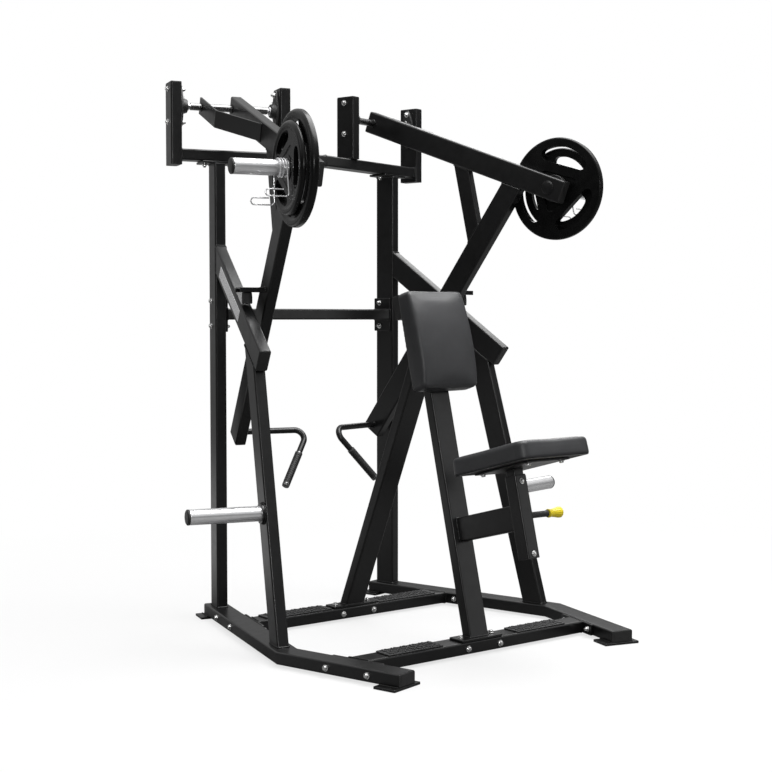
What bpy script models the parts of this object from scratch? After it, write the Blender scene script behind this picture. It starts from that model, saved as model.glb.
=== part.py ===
"""Plate-loaded gym machine with a chest pad, a raised seat and two swinging weight arms.

Metres, +Z up. The user sits on the -Y side and faces +Y, so -X is the user's left. The two halves mirror
each other about X = 0. Each half is turned outward by SPLAY and is laid out in its own half frame: s runs
outward along the half's top beam, t runs forward to the user and z is the height over the base rails'
underside.
"""

import math

import bmesh
import bpy
from mathutils import Matrix, Vector

# ---------------------------------------------------------------- driving dimensions
SPLAY = math.radians(15.0)
ORIGIN_Y = 0.2552          # moves the half frames back, so that the whole machine is centred on Y = 0
FOOT_THICK = 0.008         # foot plates under the base rails: rails' underside stands this high
GAP = 0.0003               # between pieces that touch
SIDES = {"left": -1, "right": 1}

TUBE = (0.040, 0.080)      # main frame tube
FLAT_TUBE = (0.080, 0.040)  # the same tube lying on its broad side
WALL = 0.003
CORNER = 0.006             # outer corner radius of a frame tube
LEAST_CORNER = 0.001
CORNER_STEPS = 2
PLATE_THICK = 0.008        # welded joint plates
SOFT_ANGLE = math.radians(35.0)  # turned faces that meet more gently than this are shaded smooth
SOFT_STEPS = 2

# base
POST_S = 0.4656            # back post, diagonal beam, front leg and rear rail share this plane
RAIL_REAR_T = -0.3129
RAIL_BEND_Y = -0.3635      # before ORIGIN_Y
RAIL_FRONT_LENGTH = 0.4667
RAIL_HEIGHT = 0.040
FRONT_BAR_Y = -0.5917
REAR_BAR_Y = 0.0886
BAR_FLANGE = (0.200, 0.038)
FOOT_LENGTH = 0.080
FOOT_WIDTH = 0.130
FOOT_SINK = 0.001          # weld overlap with the rail's wall
FOOT_PAST_FRONT = 0.002
FOOT_PAST_REAR = 0.026
TREAD_THICK = 0.008
TREAD_DEPTH = 0.072
TREAD_EDGE = 0.002
FRONT_TREAD_X = (0.160, 0.380)
REAR_TREAD_X = (0.105, 0.375)

# upright frame
POST_T = -0.2495
BEAM_SECTION = (0.060, 0.040)
BEAM_Z = 1.6525
POST_FLANGE = (0.130, 0.080)
OUTER_UPRIGHT_S = 0.6214
INNER_UPRIGHT_S = 0.2207
UPRIGHT_TOP = 1.905
OUTER_UPRIGHT_BOTTOM = 1.616
MIDDLE_BAR_Z = 1.092
MIDDLE_BAR_FLANGE = (0.076, 0.127)

# diagonal beam and front leg
DIAGONAL_TOP_Z = 1.3345    # where its top face meets the back post
DIAGONAL_SLOPE = math.radians(35.66)
DIAGONAL_END_T = 0.300     # top edge of its free end
LEG_SLOPE = math.radians(15.0)
LEG_MID = (0.2759, 0.600)  # (t, z) on the leg's centre line

# arm pivot and bearings
PIVOT_Z = 1.8235
SHAFT_RADIUS = 0.013
JOURNAL_RADIUS = 0.010
SHOULDER = 0.004           # of the shaft, outside each bearing
JOURNAL_SHORT = 0.003      # between the journal's end and the bearing's bottom
BEARING_DEPTH = 0.032
BEARING_FLANGE = (0.056, 0.150, 0.010)
FLANGE_CORNER = 0.020
BOSS_RADIUS = 0.027
BOSS_TAPER = (0.006, 0.002, 0.005)  # height of the bevelled nose, and how far it steps in before and after
SOCKET_FLOOR = 0.001
TURNED_SEGMENTS = 24
MERGE = 1e-5

# arm
ARM_S = 0.390
ARM_SLOPE = math.radians(20.3)
ARM_TAIL = 0.026           # past the pivot
HORN_REACH = 0.827         # pivot to weight horn, along the arm
ARM_NOSE = 0.060           # past the weight horn
SIDE_BAR = (0.008, 0.060)
SIDE_BAR_CORNER = 0.0015
SIDE_BAR_S = 0.518
SIDE_BAR_BEND = 0.183
SIDE_BAR_MEET = 0.352
LEVER_SLOPE = math.radians(55.03)
LEVER_FOOT = (-0.261, 0.6425)
BRACE = (0.030, 0.060)
BRACE_SLOPE = math.radians(12.2)
BRACE_MID = (0.1633, 1.600)

# stop bracket and bumper
STOP_T = 0.101
STOP_Z = 1.1645
STOP_SIZE = (0.060, 0.016)
STOP_END_S = 0.498
BUMPER_RADIUS = 0.018
BUMPER_EDGE = 0.001

# handle
HANDLE_START = (-0.2485, 0.667)
HANDLE_CORNER_S = 0.1232
HANDLE_END = (0.2521, -0.1403, 0.471)
HANDLE_RADIUS = 0.011
HANDLE_BEND = 0.032
HANDLE_BEND_STEPS = 8
GRIP_RADIUS = 0.014
GRIP_SPAN = (0.41, 0.985)  # of the slanted part of the handle

# weight horns and plates
HORN_RADIUS = 0.025
HORN_WALL = 0.003
HORN_COLLAR = (0.017, 0.045)
HORN_EDGE = 0.003
COLLAR_EDGE = 0.002
COLLAR_FLOOR = 0.2         # depth of the closed root, as a share of the collar
HORN_TIP_S = 0.652
STORAGE_T = 0.3246
STORAGE_Z = 0.4488
STORAGE_TIP_S = 0.740
STORAGE_COLLAR = (0.010, 0.034)
PLATE_BORE = 0.0256
PLATE_RECESS = 0.22        # depth of the hollow in each face, as a share of the thickness
PLATE_EDGE = 0.25          # bevel of the outer edge, as a share of the thickness
PLATE_RAMP = 0.005
LARGE_PLATE = dict(radius=0.181, thick=0.0272, rim=0.157, hub=0.050, window=(0.086, 0.149, 0.020),
                   turn=math.radians(-17))
SMALL_PLATE = dict(radius=0.1457, thick=0.0197, rim=0.126, hub=0.044, window=(0.068, 0.1155, 0.018),
                   turn=math.radians(-26))
PLATE_SEGMENTS = 36

# spring clip on the weight horn
WIRE_RADIUS = 0.0025
COIL_RADIUS = 0.0285
COIL_TURNS = 2.5
COIL_STEPS = 12
COIL_PITCH = 0.0095
CLIP_DROP = (0.086, 0.110)
CLIP_REACH = 0.075
CLIP_LOOP = 0.021
CLIP_LEAN = (0.018, 0.004)
CLIP_TAIL = 0.018          # from a loop's free end back to its leg
CLIP_BEND = 0.0095
CLIP_CLEARANCE = 0.001

# pad frame (on X = 0)
FRONT_LEAN = math.radians(14.4)
FRONT_LEG_AT = (-0.534, 0.2939)   # (y before ORIGIN_Y, z) on its centre line
REAR_LEAN = math.radians(24.3)
REAR_LEG_AT = (-0.1831, 0.6245)
LEG_FLANGE_FRONT = (0.172, 0.068)
LEG_FLANGE_REAR = (0.190, 0.058)
HEAD_BAR_Z = 1.1125
HEAD_BAR_LENGTH = 0.216
HEAD_BAR_OVERLAP = 0.030   # the leg ends this far under the head bar's middle
PAD_WIDTH = 0.240
PAD_BOTTOM_Z = 0.8275
PAD_LENGTH = 0.336
PAD_THICK = (0.063, 0.056)  # along its bottom and top edges
PAD_CROWN = 0.021
PAD_EDGE = 0.010

# seat
SLEEVE = 0.050
SLEEVE_WALL = 0.0045
SEAT_TUBE = 0.040
SLEEVE_AT = (-0.848, 0.3265)
SLEEVE_Z = (0.331, 0.583)
BRACKET_AT = (-0.650, 0.417)
SEAT_WIDTH = 0.300
SEAT_LENGTH = 0.3445
SEAT_THICK = 0.058
SEAT_REAR_TOP = (-0.629, 0.6325)
SEAT_CORNER = 0.032
SEAT_EDGE = 0.008
SEAT_PLATE = (0.180, 0.250, 0.006)
SEAT_PLATE_EDGE = 0.0015
PIN_Z = 0.4607
PIN_RADIUS = 0.005
PIN_CLEARANCE = 0.0006
PIN_BARREL_RADIUS = 0.0115
PIN_BARREL_END = 0.108
PIN_KNOB_X = (0.111, 0.166)
PIN_KNOB_RADIUS = 0.018
PIN_KNOB_EDGE = 0.004
PIN_SOCKET = 0.030
HEIGHT_STEP = 0.050
HEIGHT_HOLES = 4
HOLE_SEGMENTS = 16


UP = Vector((0, 0, 1))
ACROSS = Vector((1, 0, 0))
BACKWARD = Vector((0, 1, 0))


# ---------------------------------------------------------------- frames
def half(side, s, t, z):
    """World point of half-frame coordinates."""
    return half_dir(side, s, t, z) + Vector((0, ORIGIN_Y, FOOT_THICK))


def half_dir(side, s, t, z=0.0):
    """World direction of half-frame components."""
    return Vector((side * (s * math.cos(SPLAY) + t * math.sin(SPLAY)),
                   s * math.sin(SPLAY) - t * math.cos(SPLAY), z))


def centre(x, y, z):
    """World point of a place in the middle of the machine."""
    return Vector((x, y + ORIGIN_Y, z + FOOT_THICK))


# ---------------------------------------------------------------- objects, materials
def clear_scene():
    for obj in list(bpy.data.objects):
        bpy.data.objects.remove(obj, do_unlink=True)


def paint(name, colour, roughness, metallic=0.0):
    material = bpy.data.materials.new(name)
    material.use_nodes = True
    shader = material.node_tree.nodes["Principled BSDF"]
    shader.inputs["Base Color"].default_value = (*colour, 1.0)
    shader.inputs["Roughness"].default_value = roughness
    shader.inputs["Metallic"].default_value = metallic
    material.diffuse_color = (*colour, 1.0)
    return material


FINISHES = {
    "frame": ((0.030, 0.030, 0.032), 0.42, 0.0),
    "rubber": ((0.018, 0.018, 0.018), 0.75, 0.0),
    "vinyl": ((0.055, 0.056, 0.060), 0.50, 0.0),
    "chrome": ((0.75, 0.75, 0.77), 0.16, 1.0),
    "steel": ((0.50, 0.50, 0.51), 0.35, 1.0),
    "iron": ((0.020, 0.020, 0.021), 0.55, 0.0),
    "yellow": ((0.90, 0.75, 0.02), 0.35, 0.0),
}


def add_object(name, data, finish, axis=None):
    """Link a mesh or curve as one sub-part; axis is the empty that it turns or slides with."""
    data.materials.append(paint(name, *FINISHES[finish]))
    obj = bpy.data.objects.new(name, data)
    bpy.context.scene.collection.objects.link(obj)
    if axis is not None:
        data.transform(Matrix.Translation(-axis.location))
        obj.parent = axis
    return obj


def add_empty(name, location):
    empty = bpy.data.objects.new(name, None)
    empty.empty_display_size = 0.05
    empty.location = location
    bpy.context.scene.collection.objects.link(empty)
    return empty


def mesh_from(name, bm, smooth_angle=None):
    bm.normal_update()
    bmesh.ops.recalc_face_normals(bm, faces=bm.faces)
    mesh = bpy.data.meshes.new(name)
    bm.to_mesh(mesh)
    bm.free()
    if smooth_angle is not None:
        mesh.shade_smooth()
        mesh.set_sharp_from_angle(angle=smooth_angle)
    return mesh


def boolean(obj, operation, bm, name):
    """Cut or join a helper shape, given in world coordinates, with an EXACT Boolean."""
    helper = bpy.data.objects.new(name, mesh_from(name, bm))
    bpy.context.scene.collection.objects.link(helper)
    helper.hide_render = True
    helper.display_type = "WIRE"
    modifier = obj.modifiers.new(name, "BOOLEAN")
    modifier.operation = operation
    modifier.solver = "EXACT"
    modifier.object = helper


# ---------------------------------------------------------------- shape builders
def rounded_section(width, depth, radius, steps=CORNER_STEPS):
    """Outline of a rectangle with round corners, as (across, up) pairs."""
    outline = []
    for quarter in range(4):
        angle = math.radians(90 * quarter)
        corner_x = (width / 2 - radius) * (1 if quarter in (0, 3) else -1)
        corner_y = (depth / 2 - radius) * (1 if quarter in (0, 1) else -1)
        for step in range(steps + 1):
            turn = angle + math.radians(90) * step / steps
            outline.append((corner_x + radius * math.cos(turn), corner_y + radius * math.sin(turn)))
    return outline


def ring(bm, outline, point, along, up, normal):
    """Section outline carried along a straight run until it meets the plane through point."""
    across = along.cross(up).normalized()
    upright = across.cross(along).normalized()
    verts = []
    for a, b in outline:
        corner = point + across * a + upright * b
        corner += along * ((point - corner).dot(normal) / along.dot(normal))
        verts.append(bm.verts.new(corner))
    return verts


def bridge(bm, first, second):
    count = len(first)
    for i in range(count):
        j = (i + 1) % count
        bm.faces.new((first[i], first[j], second[j], second[i]))


def tube_mesh(points, up, size, wall=WALL, cuts=(None, None), caps=(False, False), flanges=(None, None),
              corner=CORNER):
    """Box tube along a path with mitred bends.

    size is (across, up). A cap closes an end, a flange widens it. Without a wall the tube is solid.
    """
    bm = bmesh.new()
    runs = [(b - a).normalized() for a, b in zip(points, points[1:])]
    normals = [cuts[0] or runs[0]]
    normals += [(a + b).normalized() for a, b in zip(runs, runs[1:])]
    normals += [cuts[1] or runs[-1]]
    path_runs = [runs[0]] + runs

    def place(outline, index, offset=0.0):
        along = path_runs[index]
        return ring(bm, outline, points[index] + along * offset, along, up, normals[index])

    outer = rounded_section(*size, corner)
    outer_rings = []
    last = len(points) - 1
    for index in range(len(points)):
        flange = flanges[0] if index == 0 else flanges[1] if index == last else None
        if flange is None:
            outer_rings.append(place(outer, index))
            continue
        plate = rounded_section(*flange, corner)
        inward = PLATE_THICK if index == 0 else -PLATE_THICK
        rings = [place(plate, index), place(plate, index, inward), place(outer, index, inward)]
        outer_rings += rings if index == 0 else rings[::-1]
    for first, second in zip(outer_rings, outer_rings[1:]):
        bridge(bm, first, second)
    if wall is None:
        bm.faces.new(outer_rings[0])
        bm.faces.new(outer_rings[-1])
        return bm
    inner = rounded_section(size[0] - 2 * wall, size[1] - 2 * wall, max(corner - wall, LEAST_CORNER))
    depths = [wall if caps[0] else 0.0] + [0.0] * (last - 1) + [-wall if caps[1] else 0.0]
    inner_rings = [place(inner, index, depths[index]) for index in range(len(points))]
    for first, second in zip(inner_rings, inner_rings[1:]):
        bridge(bm, first, second)
    for closed, outer_end, inner_end in ((caps[0], outer_rings[0], inner_rings[0]),
                                         (caps[1], outer_rings[-1], inner_rings[-1])):
        if closed:
            bm.faces.new(outer_end)
            bm.faces.new(inner_end)
        else:
            bridge(bm, outer_end, inner_end)
    return bm


def turned_mesh(profile, origin, axis, hollow=False, segments=TURNED_SEGMENTS):
    """Turn (along, radius) points about an axis. A hollow profile is a loop, a solid one ends on it."""
    bm = bmesh.new()
    spread = axis.orthogonal().normalized()
    verts = [bm.verts.new(origin + axis * along + spread * radius) for along, radius in profile]
    edges = [bm.edges.new(pair) for pair in zip(verts, verts[1:])]
    if hollow:
        edges.append(bm.edges.new((verts[-1], verts[0])))
    bmesh.ops.spin(bm, geom=verts + edges, cent=origin, axis=axis, angle=math.tau, steps=segments,
                   use_merge=True)
    bmesh.ops.remove_doubles(bm, verts=bm.verts, dist=MERGE)
    return bm


def box_mesh(middle, axes, size):
    bm = bmesh.new()
    bmesh.ops.create_cube(bm, size=1.0)
    frame = Matrix((axes[0] * size[0], axes[1] * size[1], axes[2] * size[2])).transposed().to_4x4()
    bm.transform(Matrix.Translation(middle) @ frame)
    return bm


def rounded_path(points, radius, steps=6):
    """Polyline whose inner corners become arcs."""
    path = [points[0]]
    for before, corner, after in zip(points, points[1:], points[2:]):
        arrive = (before - corner).normalized()
        leave = (after - corner).normalized()
        half_angle = arrive.angle(leave) / 2
        setback = radius / math.tan(half_angle)
        middle = corner + (arrive + leave).normalized() * (radius / math.sin(half_angle))
        start = (corner + arrive * setback - middle).normalized()
        end = (corner + leave * setback - middle).normalized()
        path += [middle + start.slerp(end, step / steps) * radius for step in range(steps + 1)]
    path.append(points[-1])
    return path


def wire_curve(name, points, radius, resolution=3):
    curve = bpy.data.curves.new(name, "CURVE")
    curve.dimensions = "3D"
    curve.bevel_depth = radius
    curve.bevel_resolution = resolution
    curve.use_fill_caps = True
    curve.render_resolution_u = 0
    spline = curve.splines.new("POLY")
    spline.points.add(len(points) - 1)
    for slot, point in zip(spline.points, points):
        slot.co = (*point, 1.0)
    return curve


def tube_object(name, finish="frame", axis=None, **shape):
    return add_object(name, mesh_from(name, tube_mesh(**shape)), finish, axis)


def turned_object(name, finish, profile, origin, direction, axis=None, hollow=False,
                  segments=TURNED_SEGMENTS):
    bm = turned_mesh(profile, origin, direction, hollow, segments)
    return add_object(name, mesh_from(name, bm, SOFT_ANGLE), finish, axis)


def soften(obj, width):
    """Round the sharp edges."""
    bevel = obj.modifiers.new("soft_edges", "BEVEL")
    bevel.width = width
    bevel.segments = SOFT_STEPS
    bevel.limit_method = "ANGLE"


def bar_between(name, y, z, ends, size, flange):
    """Bar along X whose end plates lie against two slanted faces, each given as (point, inward normal)."""
    points = []
    for point, normal in ends:
        start = centre(0, y, z)
        reach = (point - start).dot(normal) / normal.x
        points.append(start + Vector((reach, 0, 0)))
    tube_object(name, points=points, up=UP, size=size, cuts=(ends[0][1], -ends[1][1]),
                flanges=(flange, flange))


# ---------------------------------------------------------------- base
def rail_bend(side):
    """Middle of the rail where its rear run turns inward."""
    t = (POST_S * math.sin(SPLAY) - RAIL_BEND_Y) / math.cos(SPLAY)
    return half(side, POST_S, t, RAIL_HEIGHT / 2)


def front_run(side):
    return Vector((-side * math.sin(SPLAY), -math.cos(SPLAY), 0))


def make_base(label, side):
    bend = rail_bend(side)
    front_end = bend + front_run(side) * RAIL_FRONT_LENGTH
    rear_end = half(side, POST_S, RAIL_REAR_T, RAIL_HEIGHT / 2)
    rail = tube_object(f"base_rail_{label}", points=[rear_end, bend, front_end], up=UP, size=FLAT_TUBE,
                       caps=(False, True))
    thick = FOOT_THICK + FOOT_SINK
    drop = UP * (thick / 2 - FOOT_THICK - RAIL_HEIGHT / 2)
    for where, end, run, past in (("front", front_end, -front_run(side), FOOT_PAST_FRONT),
                                  ("rear", rear_end, half_dir(side, 0, 1), FOOT_PAST_REAR)):
        middle = end + run * (FOOT_LENGTH / 2 - past) + drop
        foot = box_mesh(middle, (run.cross(UP), run, UP), (FOOT_WIDTH, FOOT_LENGTH, thick))
        boolean(rail, "UNION", foot, f"foot_plate_{where}_{label}")


def make_crossbars():
    """Front and rear floor bars between the rails, and the bar between the back posts."""
    inset = TUBE[1] / 2 + GAP
    ends = []
    for side in (-1, 1):
        inner = half_dir(side, -1, 0)
        ends.append((half(side, POST_S, 0, 0) + inner * inset, inner))
    bar_between("rear_crossbar", REAR_BAR_Y, RAIL_HEIGHT / 2, ends, FLAT_TUBE, BAR_FLANGE)
    ends = []
    for side in (-1, 1):
        inner = Vector((-side * math.cos(SPLAY), math.sin(SPLAY), 0))
        ends.append((rail_bend(side) + inner * inset, inner))
    bar_between("front_crossbar", FRONT_BAR_Y, RAIL_HEIGHT / 2, ends, FLAT_TUBE, BAR_FLANGE)
    ends = []
    for side in (-1, 1):
        inner = half_dir(side, -1, 0)
        ends.append((half(side, POST_S, 0, 0) + inner * (TUBE[0] / 2 + GAP), inner))
    post_y = POST_S * math.sin(SPLAY) - POST_T * math.cos(SPLAY)
    bar_between("middle_crossbar", post_y, MIDDLE_BAR_Z, ends, FLAT_TUBE, MIDDLE_BAR_FLANGE)


def make_treads():
    """Rubber tread pads on the tops of both floor crossbars."""
    for where, y, (inner, outer) in (("front", FRONT_BAR_Y, FRONT_TREAD_X),
                                     ("rear", REAR_BAR_Y, REAR_TREAD_X)):
        for label, side in SIDES.items():
            middle = centre(side * (inner + outer) / 2, y, RAIL_HEIGHT + GAP + TREAD_THICK / 2)
            bm = box_mesh(middle, (ACROSS, BACKWARD, UP), (outer - inner, TREAD_DEPTH, TREAD_THICK))
            name = f"{where}_tread_{label}"
            soften(add_object(name, mesh_from(name, bm), "rubber"), TREAD_EDGE)


# ---------------------------------------------------------------- upright frame
def make_uprights(label, side):
    flange_top = BEAM_Z - BEAM_SECTION[1] / 2 - GAP
    forward = half_dir(side, 0, 1)
    tube_object(f"back_post_{label}", up=forward, size=TUBE, flanges=(None, POST_FLANGE),
                points=[half(side, POST_S, POST_T, RAIL_HEIGHT + GAP),
                        half(side, POST_S, POST_T, flange_top)])
    tube_object(f"outer_upright_{label}", up=forward, size=TUBE, caps=(False, True),
                points=[half(side, OUTER_UPRIGHT_S, POST_T, OUTER_UPRIGHT_BOTTOM),
                        half(side, OUTER_UPRIGHT_S, POST_T, UPRIGHT_TOP)])
    beam_top = BEAM_Z + BEAM_SECTION[1] / 2 + GAP
    tube_object(f"inner_upright_{label}", up=forward, size=TUBE, caps=(False, True),
                points=[half(side, INNER_UPRIGHT_S, POST_T, beam_top),
                        half(side, INNER_UPRIGHT_S, POST_T, UPRIGHT_TOP)])


def make_top_beam():
    """One beam, bent in the middle, that carries all four uprights."""
    end_s = OUTER_UPRIGHT_S - TUBE[0] / 2 - GAP
    middle_s = -POST_T * math.tan(SPLAY)
    points = [half(-1, end_s, POST_T, BEAM_Z), half(-1, middle_s, POST_T, BEAM_Z),
              half(1, end_s, POST_T, BEAM_Z)]
    tube_object("top_beam", points=points, up=UP, size=BEAM_SECTION)


def make_diagonal(label, side):
    """Beam from the back post down to the front leg, and the leg under it."""
    along = half_dir(side, 0, math.cos(DIAGONAL_SLOPE), -math.sin(DIAGONAL_SLOPE))
    above = half_dir(side, 0, math.sin(DIAGONAL_SLOPE), math.cos(DIAGONAL_SLOPE))
    post_front = POST_T + TUBE[1] / 2 + GAP
    drop = math.tan(DIAGONAL_SLOPE)
    end_top = half(side, POST_S, DIAGONAL_END_T, DIAGONAL_TOP_Z - drop * (DIAGONAL_END_T - post_front))
    end = end_top - above * TUBE[1] / 2
    reach = (end - half(side, POST_S, post_front, 0)).dot(half_dir(side, 0, 1)) / math.cos(DIAGONAL_SLOPE)
    tube_object(f"diagonal_beam_{label}", up=above, size=TUBE, points=[end - along * reach, end],
                cuts=(half_dir(side, 0, 1), None), caps=(False, True))
    leg_along = half_dir(side, 0, -math.sin(LEG_SLOPE), math.cos(LEG_SLOPE))
    middle = half(side, POST_S, *LEG_MID)
    foot = middle - leg_along * ((LEG_MID[1] - RAIL_HEIGHT - GAP) / math.cos(LEG_SLOPE))
    under = end - above * (TUBE[1] / 2 + GAP)
    head = middle + leg_along * ((under - middle).dot(above) / leg_along.dot(above))
    tube_object(f"front_leg_{label}", up=half_dir(side, 0, 1), size=TUBE, points=[foot, head],
                cuts=(UP, above))


def horn_profile(length, collar):
    """Outline of a bar with a collar at its root and a shallow hollow in it; collar is (width, radius)."""
    width, radius = collar
    floor = width * COLLAR_FLOOR
    hollow = HORN_RADIUS - HORN_WALL
    return [(floor, 0), (floor, hollow), (0, hollow), (0, radius), (width - COLLAR_EDGE, radius),
            (width, radius - COLLAR_EDGE), (width, HORN_RADIUS), (length - HORN_EDGE, HORN_RADIUS),
            (length, HORN_RADIUS - HORN_EDGE), (length, 0)]


def make_storage_horn(label, side):
    root_s = POST_S + TUBE[0] / 2 + GAP
    profile = horn_profile(STORAGE_TIP_S - root_s, STORAGE_COLLAR)
    turned_object(f"storage_horn_{label}", "chrome", profile, half(side, root_s, STORAGE_T, STORAGE_Z),
                  half_dir(side, 1, 0))


# ---------------------------------------------------------------- pivot
def make_bearings(label, side):
    """Two-bolt flange bearings on the faces of the uprights that look at the arm."""
    faces = (("outer", OUTER_UPRIGHT_S - TUBE[0] / 2 - GAP, -1),
             ("inner", INNER_UPRIGHT_S + TUBE[0] / 2 + GAP, 1))
    depth = BEARING_DEPTH
    base = BEARING_FLANGE[2]
    root = base / 2
    nose, near_step, far_step = BOSS_TAPER
    bore = JOURNAL_RADIUS + GAP
    floor = base + SOCKET_FLOOR
    profile = [(root, 0), (root, BOSS_RADIUS), (depth - nose, BOSS_RADIUS - near_step),
               (depth, BOSS_RADIUS - far_step), (depth, bore), (floor, bore), (floor, 0)]
    for where, face_s, sense in faces:
        origin = half(side, face_s, POST_T, PIVOT_Z)
        outward = half_dir(side, sense, 0)
        bearing = turned_object(f"{where}_bearing_{label}", "iron", profile, origin, outward)
        flange = tube_mesh(points=[origin, origin + outward * base], up=UP, size=BEARING_FLANGE[:2],
                           wall=None, corner=FLANGE_CORNER)
        boolean(bearing, "UNION", flange, f"{where}_bearing_flange_{label}")


def make_shaft(label, side, axis):
    outer_tip = OUTER_UPRIGHT_S - TUBE[0] / 2 - BEARING_DEPTH
    inner_tip = INNER_UPRIGHT_S + TUBE[0] / 2 + BEARING_DEPTH
    journal = BEARING_DEPTH - BEARING_FLANGE[2] - JOURNAL_SHORT
    length = outer_tip - inner_tip
    profile = [(-journal, 0), (-journal, JOURNAL_RADIUS), (SHOULDER, JOURNAL_RADIUS),
               (SHOULDER, SHAFT_RADIUS), (length - SHOULDER, SHAFT_RADIUS),
               (length - SHOULDER, JOURNAL_RADIUS), (length + journal, JOURNAL_RADIUS), (length + journal, 0)]
    turned_object(f"pivot_shaft_{label}", "steel", profile, half(side, inner_tip, POST_T, PIVOT_Z),
                  half_dir(side, 1, 0), axis)


# ---------------------------------------------------------------- arm
def arm_frame(side):
    """Point of the pivot in the arm's plane, direction down the arm, and the arm's upper normal."""
    pivot = half(side, ARM_S, POST_T, PIVOT_Z)
    along = half_dir(side, 0, math.cos(ARM_SLOPE), -math.sin(ARM_SLOPE))
    above = half_dir(side, 0, math.sin(ARM_SLOPE), math.cos(ARM_SLOPE))
    return pivot, along, above


def shaft_hole(side, middle_s, width):
    """Cutter for the shaft's hole through a part of the given width."""
    start = half(side, middle_s - width, POST_T, PIVOT_Z)
    length = 2 * width
    radius = SHAFT_RADIUS + GAP
    return turned_mesh([(0, 0), (0, radius), (length, radius), (length, 0)], start, half_dir(side, 1, 0))


def make_arm(label, side, axis):
    pivot, along, above = arm_frame(side)
    outward = half_dir(side, 1, 0)
    reach = HORN_REACH + ARM_NOSE
    arm = tube_object(f"arm_tube_{label}", axis=axis, up=above, size=TUBE, caps=(False, True),
                      points=[pivot - along * ARM_TAIL, pivot + along * reach])
    boolean(arm, "DIFFERENCE", shaft_hole(side, ARM_S, TUBE[0]), f"arm_bore_{label}")

    offset = outward * (SIDE_BAR_S - ARM_S)
    face = outward * (TUBE[0] / 2 + GAP)
    points = [pivot - along * ARM_TAIL + offset, pivot + along * SIDE_BAR_BEND + offset,
              pivot + along * SIDE_BAR_MEET + face]
    bar = tube_object(f"arm_side_bar_{label}", axis=axis, points=points, up=above, size=SIDE_BAR, wall=None,
                      cuts=(None, -outward), corner=SIDE_BAR_CORNER)
    boolean(bar, "DIFFERENCE", shaft_hole(side, SIDE_BAR_S, SIDE_BAR[0]), f"side_bar_bore_{label}")

    under = pivot - above * (TUBE[1] / 2 + GAP)
    lever_along = half_dir(side, 0, math.cos(LEVER_SLOPE), math.sin(LEVER_SLOPE))
    lever_front = half_dir(side, 0, math.sin(LEVER_SLOPE), -math.cos(LEVER_SLOPE))
    foot = half(side, ARM_S, *LEVER_FOOT)
    head = foot + lever_along * ((under - foot).dot(above) / lever_along.dot(above))
    lever = tube_object(f"lever_{label}", axis=axis, points=[foot, head], up=lever_front, size=TUBE,
                        cuts=(None, above), caps=(True, False))
    tab_start = ARM_S + TUBE[0] / 2 - WALL / 2
    tab_middle = half(side, (tab_start + STOP_END_S) / 2, STOP_T, STOP_Z + STOP_SIZE[1] / 2)
    tab = box_mesh(tab_middle, (outward, half_dir(side, 0, 1), UP), (STOP_END_S - tab_start, *STOP_SIZE))
    boolean(lever, "UNION", tab, f"stop_tab_{label}")

    brace_along = half_dir(side, 0, math.sin(BRACE_SLOPE), -math.cos(BRACE_SLOPE))
    middle = half(side, ARM_S, *BRACE_MID)
    top = middle + brace_along * ((under - middle).dot(above) / brace_along.dot(above))
    lever_back = foot - lever_front * (TUBE[1] / 2 + GAP)
    bottom = middle + brace_along * ((lever_back - middle).dot(lever_front) / brace_along.dot(lever_front))
    tube_object(f"lever_brace_{label}", axis=axis, points=[top, bottom], up=half_dir(side, 0, 1),
                size=BRACE, cuts=(above, lever_front))


def make_bumper(label, side, axis):
    """Rubber stop under the lever's tab, which rests on the diagonal beam."""
    top = half(side, POST_S, STOP_T, STOP_Z - GAP)
    diagonal = math.tan(DIAGONAL_SLOPE)
    touch_t = STOP_T - BUMPER_RADIUS - POST_T - TUBE[1] / 2 - GAP
    bottom_z = DIAGONAL_TOP_Z - diagonal * touch_t + 2 * GAP
    length = STOP_Z - GAP - bottom_z
    profile = [(0, 0), (0, BUMPER_RADIUS), (length - BUMPER_EDGE, BUMPER_RADIUS),
               (length, BUMPER_RADIUS - BUMPER_EDGE), (length, 0)]
    turned_object(f"bumper_{label}", "rubber", profile, top, -UP, axis)


def handle_points(side):
    start = half(side, ARM_S - TUBE[0] / 2 - GAP, *HANDLE_START)
    corner = half(side, HANDLE_CORNER_S, *HANDLE_START)
    return start, corner, half(side, *HANDLE_END)


def make_handle(label, side, axis):
    start, corner, end = handle_points(side)
    path = rounded_path([start, corner, end], HANDLE_BEND, HANDLE_BEND_STEPS)
    name = f"handle_{label}"
    add_object(name, wire_curve(name, path, HANDLE_RADIUS, 4), "frame", axis)
    slope = end - corner
    grip_start = corner + slope * GRIP_SPAN[0]
    length = slope.length * (GRIP_SPAN[1] - GRIP_SPAN[0])
    bore = HANDLE_RADIUS + GAP
    profile = [(0, bore), (0, GRIP_RADIUS), (length, GRIP_RADIUS), (length, bore)]
    turned_object(f"grip_{label}", "rubber", profile, grip_start, slope.normalized(), axis, hollow=True)


def make_weight_horn(label, side, axis):
    root_s = ARM_S + TUBE[0] / 2 + GAP
    pivot, along, _ = arm_frame(side)
    outward = half_dir(side, 1, 0)
    root = pivot + along * HORN_REACH + outward * (root_s - ARM_S)
    profile = horn_profile(HORN_TIP_S - root_s, HORN_COLLAR)
    turned_object(f"weight_horn_{label}", "chrome", profile, root, outward, axis)
    return root


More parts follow.
